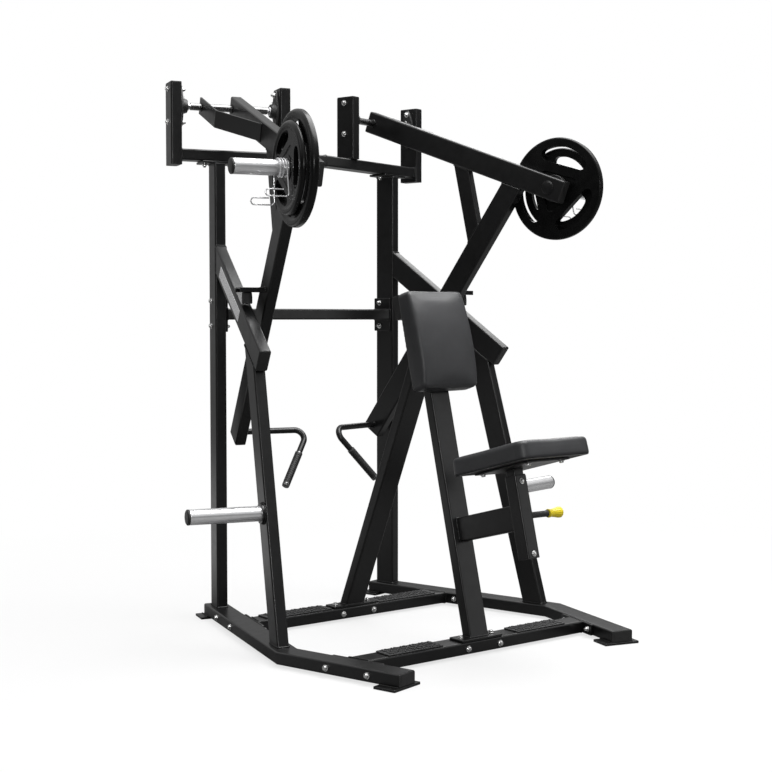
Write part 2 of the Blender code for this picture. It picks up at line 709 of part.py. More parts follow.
def weight_plate(name, plate, root, outward, axis):
    """Rubber-covered disc with a raised rim and hub, a bore and three hand holes."""
    thick = plate["thick"]
    recess = PLATE_RECESS * thick
    rim = plate["rim"]
    hub = plate["hub"]
    radius = plate["radius"]
    edge = PLATE_EDGE * thick
    face = [(0, PLATE_BORE), (0, hub), (recess, hub + PLATE_RAMP), (recess, rim), (0, rim + PLATE_RAMP),
            (0, radius - edge), (edge, radius)]
    back = [(thick - along, r) for along, r in reversed(face)]
    disc = turned_object(name, "rubber", face + back, root, outward, axis, hollow=True,
                         segments=PLATE_SEGMENTS)
    side_axis = UP.cross(outward).normalized()
    windows = bmesh.new()
    for third in range(3):
        window_cutter(windows, plate, root - outward * thick, outward * 3 * thick, side_axis,
                      plate["turn"] + math.tau * third / 3)
    boolean(disc, "DIFFERENCE", windows, f"{name}_windows")


def window_cutter(bm, plate, start, extent, side_axis, turn, arc_steps=5, fillet_steps=3):
    """D-shaped hand hole: a chord, an arc and two fillets, centred on the given turn from straight up."""
    chord, arc, fillet = plate["window"]
    height = chord + fillet
    corner = math.sqrt((arc - fillet) ** 2 - height ** 2)
    lean = math.atan2(corner, height)
    outline = []
    for step in range(1, arc_steps):
        angle = lean * (2 * step / arc_steps - 1)
        outline.append((arc * math.sin(angle), arc * math.cos(angle)))
    for sense in (1, -1):
        steps = range(fillet_steps + 1)
        for step in steps if sense > 0 else reversed(steps):
            angle = lean + (math.pi - lean) * step / fillet_steps
            outline.append((sense * (corner + fillet * math.sin(angle)), height + fillet * math.cos(angle)))
    verts = []
    for a, b in outline:
        across = a * math.cos(turn) + b * math.sin(turn)
        up = b * math.cos(turn) - a * math.sin(turn)
        verts.append(bm.verts.new(start + side_axis * across + UP * up))
    face = bm.faces.new(verts)
    raised = bmesh.ops.extrude_face_region(bm, geom=[face])
    moved = [item for item in raised["geom"] if isinstance(item, bmesh.types.BMVert)]
    bmesh.ops.translate(bm, verts=moved, vec=extent)


def make_clip(label, side, root, start_s, axis):
    """Spring wire clip: a coil on the horn and two hanging finger loops."""
    outward = half_dir(side, 1, 0)
    forward = half_dir(side, 0, 1)
    root_s = ARM_S + TUBE[0] / 2 + GAP

    def at(s, ahead, height):
        return root + outward * (s - root_s) + forward * ahead + UP * height

    first_s = start_s + WIRE_RADIUS + CLIP_CLEARANCE
    steps = int(COIL_TURNS * COIL_STEPS)
    coil = []
    for step in range(steps + 1):
        angle = math.tau * COIL_TURNS * step / steps
        coil.append(at(first_s + COIL_PITCH * COIL_TURNS * step / steps,
                       COIL_RADIUS * math.cos(angle), COIL_RADIUS * math.sin(angle)))
    last_s = first_s + COIL_PITCH * COIL_TURNS
    loops = []
    for s, ahead, lean, drop in ((first_s, COIL_RADIUS, CLIP_LEAN[0], CLIP_DROP[0]),
                                 (last_s, -COIL_RADIUS, CLIP_LEAN[1], CLIP_DROP[1])):
        corners = [at(s, ahead, 0.0), at(s, ahead + lean, -drop), at(s + CLIP_REACH, ahead + lean, -drop),
                   at(s + CLIP_REACH, ahead + lean, CLIP_LOOP - drop),
                   at(s + CLIP_TAIL, ahead + lean, CLIP_LOOP - drop)]
        loops.append(rounded_path(corners, CLIP_BEND, 3))
    path = loops[0][::-1] + coil[1:-1] + loops[1]
    name = f"spring_clip_{label}"
    add_object(name, wire_curve(name, path, WIRE_RADIUS, 1), "chrome", axis)


def make_side(label, side):
    make_base(label, side)
    make_uprights(label, side)
    make_diagonal(label, side)
    make_storage_horn(label, side)
    make_bearings(label, side)
    axis = add_empty(f"arm_axis_{label}", half(side, ARM_S, POST_T, PIVOT_Z))
    make_shaft(label, side, axis)
    make_arm(label, side, axis)
    make_bumper(label, side, axis)
    make_handle(label, side, axis)
    root = make_weight_horn(label, side, axis)
    outward = half_dir(side, 1, 0)
    stack = add_empty(f"horn_axis_{label}", root)
    large_s = HORN_COLLAR[0] + GAP
    small_s = large_s + LARGE_PLATE["thick"] + GAP
    weight_plate(f"large_plate_{label}", LARGE_PLATE, root + outward * large_s, outward, stack)
    weight_plate(f"small_plate_{label}", SMALL_PLATE, root + outward * small_s, outward, stack)
    clip_s = ARM_S + TUBE[0] / 2 + GAP + small_s + SMALL_PLATE["thick"]
    make_clip(label, side, root, clip_s, stack)


# ---------------------------------------------------------------- pad frame
FRONT_UP = Vector((0, math.sin(FRONT_LEAN), math.cos(FRONT_LEAN)))
FRONT_OUT = Vector((0, -math.cos(FRONT_LEAN), math.sin(FRONT_LEAN)))


def along_front_leg(z, point=FRONT_LEG_AT):
    return centre(0, point[0] + math.tan(FRONT_LEAN) * (z - point[1]), z)


def make_pad_frame():
    foot = along_front_leg(RAIL_HEIGHT + GAP)
    head_middle = along_front_leg(HEAD_BAR_Z)
    leg_head = head_middle - FRONT_UP * HEAD_BAR_OVERLAP
    front = tube_object("pad_leg_front", points=[foot, leg_head], up=FRONT_OUT, size=FLAT_TUBE,
                        cuts=(UP, None), flanges=(LEG_FLANGE_FRONT, None))
    half_bar = ACROSS * HEAD_BAR_LENGTH / 2
    bar = tube_mesh(points=[head_middle - half_bar, head_middle + half_bar], up=FRONT_UP, size=TUBE)
    boolean(front, "UNION", bar, "pad_head_bar")

    rear_up = Vector((0, -math.sin(REAR_LEAN), math.cos(REAR_LEAN)))
    at = centre(0, *REAR_LEG_AT)
    foot = at - rear_up * ((REAR_LEG_AT[1] - RAIL_HEIGHT - GAP) / math.cos(REAR_LEAN))
    meet = head_middle - FRONT_OUT * (FLAT_TUBE[1] / 2 + GAP)
    head = at + rear_up * ((meet - at).dot(FRONT_OUT) / rear_up.dot(FRONT_OUT))
    tube_object("pad_leg_rear", points=[foot, head], up=BACKWARD, size=FLAT_TUBE, cuts=(UP, FRONT_OUT),
                flanges=(LEG_FLANGE_REAR, None))


def make_chest_pad(arc_steps=10):
    """Cushion with a crowned face: its side outline is a chord with an arc in front of it."""
    back = along_front_leg(PAD_BOTTOM_Z) + FRONT_OUT * (FLAT_TUBE[1] / 2 + 2 * GAP)
    bottom, top = PAD_THICK
    outline = [(0.0, 0.0), (PAD_LENGTH, 0.0)]
    for step in range(arc_steps + 1):
        part = 1 - step / arc_steps
        crown = PAD_CROWN * 4 * part * (1 - part)
        outline.append((PAD_LENGTH * part, bottom + (top - bottom) * part + crown))
    bm = bmesh.new()
    left = back - ACROSS * PAD_WIDTH / 2
    verts = [bm.verts.new(left + FRONT_UP * a + FRONT_OUT * b) for a, b in outline]
    face = bm.faces.new(verts)
    raised = bmesh.ops.extrude_face_region(bm, geom=[face])
    moved = [item for item in raised["geom"] if isinstance(item, bmesh.types.BMVert)]
    bmesh.ops.translate(bm, verts=moved, vec=ACROSS * PAD_WIDTH)
    soften(add_object("chest_pad", mesh_from("chest_pad", bm), "vinyl"), PAD_EDGE)


# ---------------------------------------------------------------- seat
def make_seat_column():
    """Fixed sleeve in front of the pad frame, welded to the bracket that carries it."""
    low, high = (along_front_leg(z, SLEEVE_AT) for z in SLEEVE_Z)
    sleeve = tube_object("seat_sleeve", points=[low, high], up=FRONT_OUT, size=(SLEEVE, SLEEVE),
                         wall=SLEEVE_WALL)
    pin = along_front_leg(PIN_Z, SLEEVE_AT)
    radius = PIN_RADIUS + PIN_CLEARANCE
    depth = SLEEVE / 2
    hole = turned_mesh([(0, 0), (0, radius), (depth, radius), (depth, 0)], pin + ACROSS * depth / 2, ACROSS)
    boolean(sleeve, "DIFFERENCE", hole, "pin_hole")

    middle = centre(0, *BRACKET_AT)
    leg_face = along_front_leg(BRACKET_AT[1]) + FRONT_OUT * (FLAT_TUBE[1] / 2 + GAP)
    sleeve_wall = along_front_leg(BRACKET_AT[1], SLEEVE_AT) - FRONT_OUT * (SLEEVE - SLEEVE_WALL) / 2
    start = middle + FRONT_OUT * (leg_face - middle).dot(FRONT_OUT)
    end = middle + FRONT_OUT * (sleeve_wall - middle).dot(FRONT_OUT)
    bracket = tube_mesh(points=[start, end], up=FRONT_UP, size=TUBE)
    boolean(sleeve, "UNION", bracket, "seat_bracket")
    return pin


def make_seat(pin):
    """Seat post, plate and cushion, which slide together in the sleeve."""
    rear_top = centre(0, *SEAT_REAR_TOP)
    plate_bottom = rear_top - FRONT_UP * (SEAT_THICK + SEAT_PLATE[2] + 2 * GAP)
    low = along_front_leg(SLEEVE_Z[0], SLEEVE_AT)
    slide = add_empty("seat_slide_axis", low)
    length = (plate_bottom - low).dot(FRONT_UP) - GAP
    post = tube_object("seat_post", "chrome", slide, points=[low, low + FRONT_UP * length], up=FRONT_OUT,
                       size=(SEAT_TUBE, SEAT_TUBE))
    holes = bmesh.new()
    radius = PIN_RADIUS + 2 * PIN_CLEARANCE
    for step in range(HEIGHT_HOLES):
        middle = pin + ACROSS * SEAT_TUBE / 2 - FRONT_UP * HEIGHT_STEP * step
        bmesh.ops.create_cone(holes, cap_ends=True, segments=HOLE_SEGMENTS, radius1=radius, radius2=radius,
                              depth=SEAT_TUBE / 2,
                              matrix=Matrix.Translation(middle) @ Matrix.Rotation(math.pi / 2, 4, "Y"))
    boolean(post, "DIFFERENCE", holes, "height_holes")

    middle = rear_top + FRONT_OUT * SEAT_LENGTH / 2
    plate_middle = middle - FRONT_UP * (SEAT_THICK + GAP + SEAT_PLATE[2] / 2)
    bm = box_mesh(plate_middle, (ACROSS, FRONT_OUT, FRONT_UP), SEAT_PLATE)
    soften(add_object("seat_plate", mesh_from("seat_plate", bm), "frame", slide), SEAT_PLATE_EDGE)

    bm = tube_mesh(points=[middle - FRONT_UP * SEAT_THICK, middle], up=FRONT_OUT,
                   size=(SEAT_WIDTH, SEAT_LENGTH), wall=None, corner=SEAT_CORNER)
    soften(add_object("seat_pad", mesh_from("seat_pad", bm), "vinyl", slide), SEAT_EDGE)


def make_pop_pin(pin):
    """Pull pin in the sleeve's +X wall: a fixed barrel, and a plunger that moves with its knob."""
    bore = PIN_RADIUS + PIN_CLEARANCE
    root = SLEEVE / 2 + GAP
    barrel = [(root, bore), (root, PIN_BARREL_RADIUS), (PIN_BARREL_END, PIN_BARREL_RADIUS),
              (PIN_BARREL_END, bore)]
    turned_object("pop_pin_barrel", "iron", barrel, pin, ACROSS, hollow=True)

    axis = add_empty("pop_pin_axis", pin)
    knob_start, knob_end = PIN_KNOB_X
    tip = SEAT_TUBE / 2 + GAP
    socket = knob_start + PIN_SOCKET
    plunger = [(tip, 0), (tip, PIN_RADIUS), (socket - GAP, PIN_RADIUS), (socket - GAP, 0)]
    turned_object("pop_pin_plunger", "steel", plunger, pin, ACROSS, axis)
    edge = PIN_KNOB_EDGE
    bore = PIN_RADIUS + GAP
    knob = [(socket, 0), (socket, bore), (knob_start, bore), (knob_start, PIN_KNOB_RADIUS - edge),
            (knob_start + edge, PIN_KNOB_RADIUS), (knob_end - edge, PIN_KNOB_RADIUS),
            (knob_end, PIN_KNOB_RADIUS - edge), (knob_end, 0)]
    turned_object("pop_pin_knob", "yellow", knob, pin, ACROSS, axis)


def main():
    clear_scene()
    for label, side in SIDES.items():
        make_side(label, side)
    make_top_beam()
    make_crossbars()
    make_treads()
    make_pad_frame()
    make_chest_pad()
    pin = make_seat_column()
    make_seat(pin)
    make_pop_pin(pin)


main()
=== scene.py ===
"""Looks of a plate-loaded gym machine with a chest pad, a raised seat and two swinging weight arms.

Metres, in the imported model's frame: +Z up, the user sits on the -Y side, -X is the user's left.
Each half of the machine is turned outward by SPLAY. In a half's own frame s runs outward along its top
beam, t runs forward to the user, and z is the height over the underside of the floor rails.
"""

import math

import bmesh
import bpy
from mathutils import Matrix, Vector, noise


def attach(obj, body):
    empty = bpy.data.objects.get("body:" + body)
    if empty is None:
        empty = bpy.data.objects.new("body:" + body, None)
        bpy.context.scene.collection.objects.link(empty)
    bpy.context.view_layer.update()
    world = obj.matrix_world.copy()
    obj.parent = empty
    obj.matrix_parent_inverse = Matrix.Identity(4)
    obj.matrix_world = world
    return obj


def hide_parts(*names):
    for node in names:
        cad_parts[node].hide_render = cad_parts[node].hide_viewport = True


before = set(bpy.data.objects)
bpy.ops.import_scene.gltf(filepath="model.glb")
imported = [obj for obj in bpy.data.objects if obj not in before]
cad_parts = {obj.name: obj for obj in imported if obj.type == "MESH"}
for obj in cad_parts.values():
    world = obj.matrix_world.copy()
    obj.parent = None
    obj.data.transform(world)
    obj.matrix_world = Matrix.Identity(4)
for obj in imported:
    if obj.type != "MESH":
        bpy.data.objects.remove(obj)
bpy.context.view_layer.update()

# ---------------------------------------------------------------- dimensions, as in the CAD
SPLAY = math.radians(15.0)
ORIGIN_Y = 0.2552
FOOT_THICK = 0.008
GAP = 0.0003
SLACK = 0.0002
WELD_LIFT = 0.0012
PLUG = 0.0035
FLANGE = 0.008
FLANGE_BOLT = dict(size=0.0075, washer=0.0100)
FOOT_PLATE = (0.130, 0.080)
SIDES = {"left": -1, "right": 1}
TUBE = (0.040, 0.080)
CORNER = 0.006
POST_S = 0.4656
POST_T = -0.2495
RAIL_REAR_T = -0.3129
RAIL_BEND_Y = -0.3635
RAIL_FRONT_LENGTH = 0.4667
RAIL_HEIGHT = 0.040
FRONT_BAR_Y = -0.5917
REAR_BAR_Y = 0.0886
BEAM_SECTION = (0.060, 0.040)
BEAM_Z = 1.6525
OUTER_UPRIGHT_S = 0.6214
INNER_UPRIGHT_S = 0.2207
UPRIGHT_TOP = 1.905
UPRIGHT_CAP = 0.004
BEARING_BOLT = 0.0575
BEARING_HALF_HEIGHT = 0.0745
BEARING_POINTS = 72
OUTER_UPRIGHT_BOTTOM = 1.616
MIDDLE_BAR_Z = 1.092
DIAGONAL_TOP_Z = 1.3345
DIAGONAL_SLOPE = math.radians(35.66)
DIAGONAL_END_T = 0.300
LEG_SLOPE = math.radians(15.0)
LEG_MID = (0.2759, 0.600)
PIVOT_Z = 1.8235
ARM_S = 0.390
ARM_SLOPE = math.radians(20.3)
ARM_TAIL = 0.026
HORN_REACH = 0.827
ARM_NOSE = 0.060
SIDE_BAR = (0.008, 0.060)
SIDE_BAR_S = 0.518
SIDE_BAR_BEND = 0.183
SIDE_BAR_MEET = 0.352
LEVER_SLOPE = math.radians(55.03)
LEVER_FOOT = (-0.261, 0.6425)
BRACE = (0.030, 0.060)
BRACE_SLOPE = math.radians(12.2)
BRACE_MID = (0.1633, 1.600)
STOP_T = 0.101
STOP_Z = 1.1645
STOP_END_S = 0.498
HANDLE_START = (-0.2485, 0.667)
HANDLE_CORNER_S = 0.1232
HANDLE_END = (0.2521, -0.1403, 0.471)
HORN_RADIUS = 0.025
HORN_CAP = 0.010
WEIGHT_COLLAR = (0.017, 0.045)
HORN_TIP_S = 0.652
STORAGE_T = 0.3246
STORAGE_Z = 0.4488
STORAGE_TIP_S = 0.740
FRONT_LEAN = math.radians(14.4)
FRONT_LEG_AT = (-0.534, 0.2939)
REAR_LEAN = math.radians(24.3)
REAR_LEG_AT = (-0.1831, 0.6245)
FLAT_TUBE = (0.080, 0.040)
HEAD_BAR_Z = 1.1125
HEAD_BAR_LENGTH = 0.216
PAD_WIDTH = 0.240
PAD_BOTTOM_Z = 0.8275
PAD_LENGTH = 0.336
PAD_THICK = (0.063, 0.056)
PAD_CROWN = 0.021
SLEEVE = 0.050
SLEEVE_WALL = 0.0045
SLEEVE_AT = (-0.848, 0.3265)
SLEEVE_Z = (0.331, 0.583)
SEAT_TUBE = 0.040
BRACKET_AT = (-0.650, 0.417)
SEAT_WIDTH = 0.300
SEAT_LENGTH = 0.3445
SEAT_THICK = 0.058
SEAT_REAR_TOP = (-0.629, 0.6325)
SEAT_PLATE = (0.180, 0.250, 0.006)
PIN_Z = 0.4607

UP = Vector((0, 0, 1))
RIGHT = Vector((1, 0, 0))
FRONT_UP = Vector((0, math.sin(FRONT_LEAN), math.cos(FRONT_LEAN)))
FRONT_OUT = Vector((0, -math.cos(FRONT_LEAN), math.sin(FRONT_LEAN)))


def half(side, s, t, z):
    return half_dir(side, s, t, z) + Vector((0, ORIGIN_Y, FOOT_THICK))


def half_dir(side, s, t, z=0.0):
    return Vector((side * (s * math.cos(SPLAY) + t * math.sin(SPLAY)),
                   s * math.sin(SPLAY) - t * math.cos(SPLAY), z))


def axes(side):
    """A half's outward and forward directions."""
    return half_dir(side, 1, 0), half_dir(side, 0, 1)


def meet(point, along, face, normal):
    """Where the line from point along a direction crosses the plane through face."""
    return point + along * ((face - point).dot(normal) / along.dot(normal))


def centre(x, y, z):
    return Vector((x, y + ORIGIN_Y, z + FOOT_THICK))


def along_front_leg(z, point=FRONT_LEG_AT):
    return centre(0, point[0] + math.tan(FRONT_LEAN) * (z - point[1]), z)


# ---------------------------------------------------------------- materials
GRAIN_DEPTH = 0.0012
SCUFFS_PER_PATCH = 4.3


def add_node(tree, kind, inputs, **settings):
    """Shader node whose inputs are linked to the given sockets or set to the given values."""
    node = tree.nodes.new("ShaderNode" + kind)
    for name, value in settings.items():
        setattr(node, name, value)
    feed(tree, node, inputs)
    return node


def feed(tree, node, inputs):
    for key, value in inputs.items():
        if isinstance(value, bpy.types.NodeSocket):
            tree.links.new(value, node.inputs[key])
        else:
            node.inputs[key].default_value = value


def map_range(tree, value, source=(0.0, 1.0), target=(0.0, 1.0)):
    limits = zip(("From Min", "From Max", "To Min", "To Max"), (*source, *target))
    return add_node(tree, "MapRange", {"Value": value, **dict(limits)}).outputs["Result"]


def colour_ramp(tree, value, *stops):
    """Ramp through (position, colour) stops."""
    node = add_node(tree, "ValToRGB", {"Fac": value})
    steps = node.color_ramp.elements
    for index, (position, colour) in enumerate(stops):
        step = steps[index] if index < 2 else steps.new(position)
        step.position, step.color = position, (*colour, 1)
    return node.outputs["Color"]


def material(name, dark, light, roughness, metallic=0.0, patch=9.0, spread=0.07, grain=(700.0, 0.10),
             specular=0.5, streaks=None, build=None):
    """Colour and roughness drift between two values in soft patches; a fine grain bumps the surface."""
    mat = bpy.data.materials.new(name)
    mat.use_nodes = True
    tree = mat.node_tree
    coords = add_node(tree, "TexCoord", {}).outputs["Object"]
    fine = coords
    if streaks:
        fine = add_node(tree, "Mapping", {"Scale": streaks, "Vector": coords}).outputs["Vector"]
    drift = add_noise(tree, coords, patch, 5.0)
    scuffs = add_noise(tree, fine, patch * SCUFFS_PER_PATCH, 8.0)
    height = build(tree, coords) if build else add_noise(tree, fine, grain[0], 3.0)
    bump = add_node(tree, "Bump", {"Strength": grain[1], "Distance": GRAIN_DEPTH, "Height": height})
    feed(tree, tree.nodes["Principled BSDF"], {
        "Metallic": metallic, "Specular IOR Level": specular, "Normal": bump.outputs["Normal"],
        "Base Color": colour_ramp(tree, drift, (0.30, dark), (0.72, light)),
        "Roughness": map_range(tree, scuffs, (0.3, 0.7), (roughness - spread, roughness + spread))})
    return mat


def add_noise(tree, coords, scale, detail):
    return add_node(tree, "TexNoise", {"Scale": scale, "Detail": detail, "Vector": coords}).outputs["Fac"]


def leather_grain(tree, coords):
    """Small soft cells with fine pores between them."""
    warp = add_node(tree, "TexNoise", {"Scale": 240.0, "Vector": coords})
    mix = add_node(tree, "Mix", {"Factor": 0.004, "A": coords, "B": warp.outputs["Color"]},
                   data_type="VECTOR")
    cells = add_node(tree, "TexVoronoi", {"Scale": 620.0, "Vector": mix.outputs["Result"]},
                     feature="DISTANCE_TO_EDGE")
    return map_range(tree, cells.outputs["Distance"], (0.0, 0.16))


def make_materials():
    return {
        "black_powder_coat": material("powder_coat", (0.0030,) * 3, (0.0048, 0.0048, 0.0052), 0.31,
                                      spread=0.03, grain=(900.0, 0.02), specular=0.45),
        "plate_rubber": material("plate_rubber", (0.0022,) * 3, (0.0040,) * 3, 0.25, spread=0.04,
                                 grain=(900.0, 0.02), specular=0.22),
        "black_rubber": material("soft_rubber", (0.009,) * 3, (0.014,) * 3, 0.62, grain=(1800.0, 0.3)),
        "tread_rubber": material("tread_rubber", (0.010,) * 3, (0.020, 0.020, 0.021), 0.58,
                                 patch=26.0, grain=(1400.0, 0.35)),
        "vinyl": material("vinyl", (0.0260, 0.0265, 0.0280), (0.0330, 0.0335, 0.0355), 0.36, spread=0.03,
                          patch=14.0, grain=(620.0, 0.12), specular=0.38, build=leather_grain),
        "chrome": material("chrome", (0.80, 0.80, 0.81), (0.88, 0.88, 0.89), 0.18, 0.72, spread=0.05,
                           patch=30.0, grain=(900.0, 0.015), streaks=(1, 1, 6)),
        "steel": material("turned_steel", (0.46, 0.46, 0.47), (0.62, 0.62, 0.63), 0.30, 1.0, spread=0.08,
                          patch=40.0, grain=(1500.0, 0.08)),
        "dark_steel": material("ground_steel", (0.16,) * 3, (0.24,) * 3, 0.26, 1.0, spread=0.06,
                               patch=40.0, grain=(1500.0, 0.08)),
        "zinc": material("zinc_plate", (0.60, 0.60, 0.60), (0.80, 0.80, 0.79), 0.26, 1.0, spread=0.08,
                         patch=60.0, grain=(1300.0, 0.06)),
        "black_iron": material("painted_casting", (0.007,) * 3, (0.016,) * 3, 0.50, grain=(420.0, 0.35)),
        "yellow_plastic": material("yellow_plastic", (0.80, 0.62, 0.010), (0.90, 0.72, 0.020), 0.34,
                                   patch=40.0, grain=(900.0, 0.10)),
        "plug_plastic": material("plug_plastic", (0.008,) * 3, (0.013,) * 3, 0.48, grain=(900.0, 0.3)),
        "brushed_label": material("brushed_plate", (0.88, 0.88, 0.89), (0.96, 0.96, 0.97), 0.32, 0.90,
                                  spread=0.09, patch=14.0, grain=(260.0, 0.10), streaks=(1, 1, 9)),
        "board": material("backing_board", (0.012,) * 3, (0.020,) * 3, 0.60, grain=(300.0, 0.3)),
        "grip_foam": material("grip_rubber", (0.008,) * 3, (0.013,) * 3, 0.52, grain=(1600.0, 0.35)),
    }


MATERIALS = make_materials()
# record slot for looks that have none of their own
SLOT_OF = {"zinc": "steel", "dark_steel": "steel", "plug_plastic": "black_rubber", "brushed_label": "steel",
           "board": "black_powder_coat", "grip_foam": "black_rubber"}


# ---------------------------------------------------------------- pieces
def piece(name, bm, look, body, *nodes, smooth=32.0, weighted=True):
    """One visual piece made of a bmesh in the frame's coordinates."""
    return mesh_piece(name, mesh_of(name, bm), look, body, *nodes, smooth=smooth, weighted=weighted)


def painted(name, bm, *nodes, body="frame", **shading):
    return piece(name, bm, "black_powder_coat", body, *nodes, **shading)


def mesh_of(name, bm):
    bm.normal_update()
    bmesh.ops.recalc_face_normals(bm, faces=bm.faces)
    mesh = bpy.data.meshes.new(name)
    bm.to_mesh(mesh)
    bm.free()
    return mesh


def mesh_piece(name, mesh, look, body, *nodes, smooth=32.0, weighted=True):
    mesh.shade_smooth()
    mesh.set_sharp_from_angle(angle=math.radians(smooth))
    mesh.materials.clear()
    mesh.materials.append(MATERIALS[look])
    obj = bpy.data.objects.new(name, mesh)
    bpy.context.scene.collection.objects.link(obj)
    if weighted:
        modifier = obj.modifiers.new("weighted_normals", "WEIGHTED_NORMAL")
        modifier.keep_sharp = True
    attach(obj, body)
    SLOT_OF.get(look, look)
    if nodes:
        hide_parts(*nodes)
    return obj


def merge(target, source):
    """Add a bmesh's geometry to another one."""
    mesh = bpy.data.meshes.new("merge")
    source.to_mesh(mesh)
    source.free()
    target.from_mesh(mesh)
    bpy.data.meshes.remove(mesh)


def bevel_sharp(bm, width, segments=2, angle=50.0):
    bm.normal_update()
    edges = [e for e in bm.edges if len(e.link_faces) == 2 and e.calc_face_angle() > math.radians(angle)]
    bmesh.ops.bevel(bm, geom=edges, offset=width, segments=segments, profile=0.5, affect="EDGES",
                    clamp_overlap=True)
    return bm


# ---------------------------------------------------------------- shape builders
DOME = ((0.35, 0.62), (0.75, 0.42))


def wall(bm, first, second):
    """Faces between two rings of vertices."""
    count = len(first)
    for i in range(count):
        j = (i + 1) % count
        bm.faces.new((first[i], first[j], second[j], second[i]))


def loft(outlines, closed=False):
    """Skin over rings of points: capped at both ends, or joined from the last to the first when closed."""
    bm = bmesh.new()
    rings = [[bm.verts.new(point) for point in outline] for outline in outlines]
    for first, second in zip(rings, rings[1:] + rings[:1] if closed else rings[1:]):
        wall(bm, first, second)
    if not closed:
        bm.faces.new(rings[0])
        bm.faces.new(rings[-1])
    return bm


def circle(middle, across, up, radius, count, phase=0.0):
    return [middle + (across * math.cos(angle) + up * math.sin(angle)) * radius
            for angle in (math.tau * (k + phase) / count for k in range(count))]


def rounded_section(width, depth, radius, steps=5):
    outline = []
    for quarter in range(4):
        angle = math.radians(90 * quarter)
        corner_x = (width / 2 - radius) * (1 if quarter in (0, 3) else -1)
        corner_y = (depth / 2 - radius) * (1 if quarter in (0, 1) else -1)
        for step in range(steps + 1):
            turn = angle + math.radians(90) * step / steps
            outline.append((corner_x + radius * math.cos(turn), corner_y + radius * math.sin(turn)))
    return outline


def section_points(outline, point, along, up, normal):
    """A section outline carried along a run until it meets the plane through point."""
    across = along.cross(up).normalized()
    upright = across.cross(along).normalized()
    places = []
    for a, b in outline:
        corner = point + across * a + upright * b
        places.append(corner + along * ((point - corner).dot(normal) / along.dot(normal)))
    return places


def tube_bm(points, up, size, cuts=(None, None), corner=CORNER, edge=0.0008, steps=5):
    """Closed box tube along a path with mitred bends. size is (across, up)."""
    runs = [(b - a).normalized() for a, b in zip(points, points[1:])]
    normals = [cuts[0] or runs[0]]
    normals += [(a + b).normalized() for a, b in zip(runs, runs[1:])]
    normals += [cuts[1] or runs[-1]]
    outer = rounded_section(*size, corner, steps)
    inset = rounded_section(size[0] - 2 * edge, size[1] - 2 * edge, max(corner - edge, edge), steps)
    rings = []
    for index, (point, run, normal) in enumerate(zip(points, [runs[0]] + runs, normals)):
        layers = ((outer, 0.0),)
        if index == 0:
            layers = ((inset, 0.0), (outer, edge))
        elif index == len(points) - 1:
            layers = ((outer, -edge), (inset, 0.0))
        for outline, shift in layers:
            rings.append(section_points(outline, point + run * shift, run, up, normal))
    return loft(rings)


def slab_bm(middle, normal, up, size, corner=0.004, edge=0.0012):
    """Flat plate with rounded corners and eased edges. size is (across, up, thick)."""
    offset = normal * size[2] / 2
    return tube_bm([middle - offset, middle + offset], up, size[:2], corner=corner, edge=edge, steps=4)


def filleted(points, radius, steps=4):
    """Round the inner corners of an (along, radius) outline."""
    rounded = [points[0]]
    for before, corner, after in zip(points, points[1:], points[2:]):
        a = Vector(before) - Vector(corner)
        b = Vector(after) - Vector(corner)
        reach = min(radius, 0.45 * a.length, 0.45 * b.length)
        if reach < 1e-5 or a.angle(b) > math.radians(175):
            rounded.append(corner)
            continue
        start = Vector(corner) + a.normalized() * reach
        end = Vector(corner) + b.normalized() * reach
        for step in range(steps + 1):
            part = step / steps
            mixed = start.lerp(Vector(corner), part).lerp(Vector(corner).lerp(end, part), part)
            rounded.append((mixed.x, mixed.y))
    rounded.append(points[-1])
    return rounded


def turned_bm(profile, origin, axis, closed=False, segments=48):
    """Turn (along, radius) points about an axis."""
    bm = bmesh.new()
    spread = axis.orthogonal().normalized()
    verts = [bm.verts.new(origin + axis * along + spread * radius) for along, radius in profile]
    edges = [bm.edges.new(pair) for pair in zip(verts, verts[1:])]
    if closed:
        edges.append(bm.edges.new((verts[-1], verts[0])))
    bmesh.ops.spin(bm, geom=verts + edges, cent=origin, axis=axis, angle=math.tau, steps=segments,
                   use_merge=True)
    bmesh.ops.remove_doubles(bm, verts=bm.verts, dist=1e-5)
    return bm


def rounded_path(points, radius, steps=8):
    path = [points[0]]
    for before, corner, after in zip(points, points[1:], points[2:]):
        arrive = (before - corner).normalized()
        leave = (after - corner).normalized()
        half_angle = arrive.angle(leave) / 2
        setback = radius / math.tan(half_angle)
        middle = corner + (arrive + leave).normalized() * (radius / math.sin(half_angle))
        start = (corner + arrive * setback - middle).normalized()
        end = (corner + leave * setback - middle).normalized()
        path += [middle + start.slerp(end, step / steps) * radius for step in range(steps + 1)]
    path.append(points[-1])
    return path


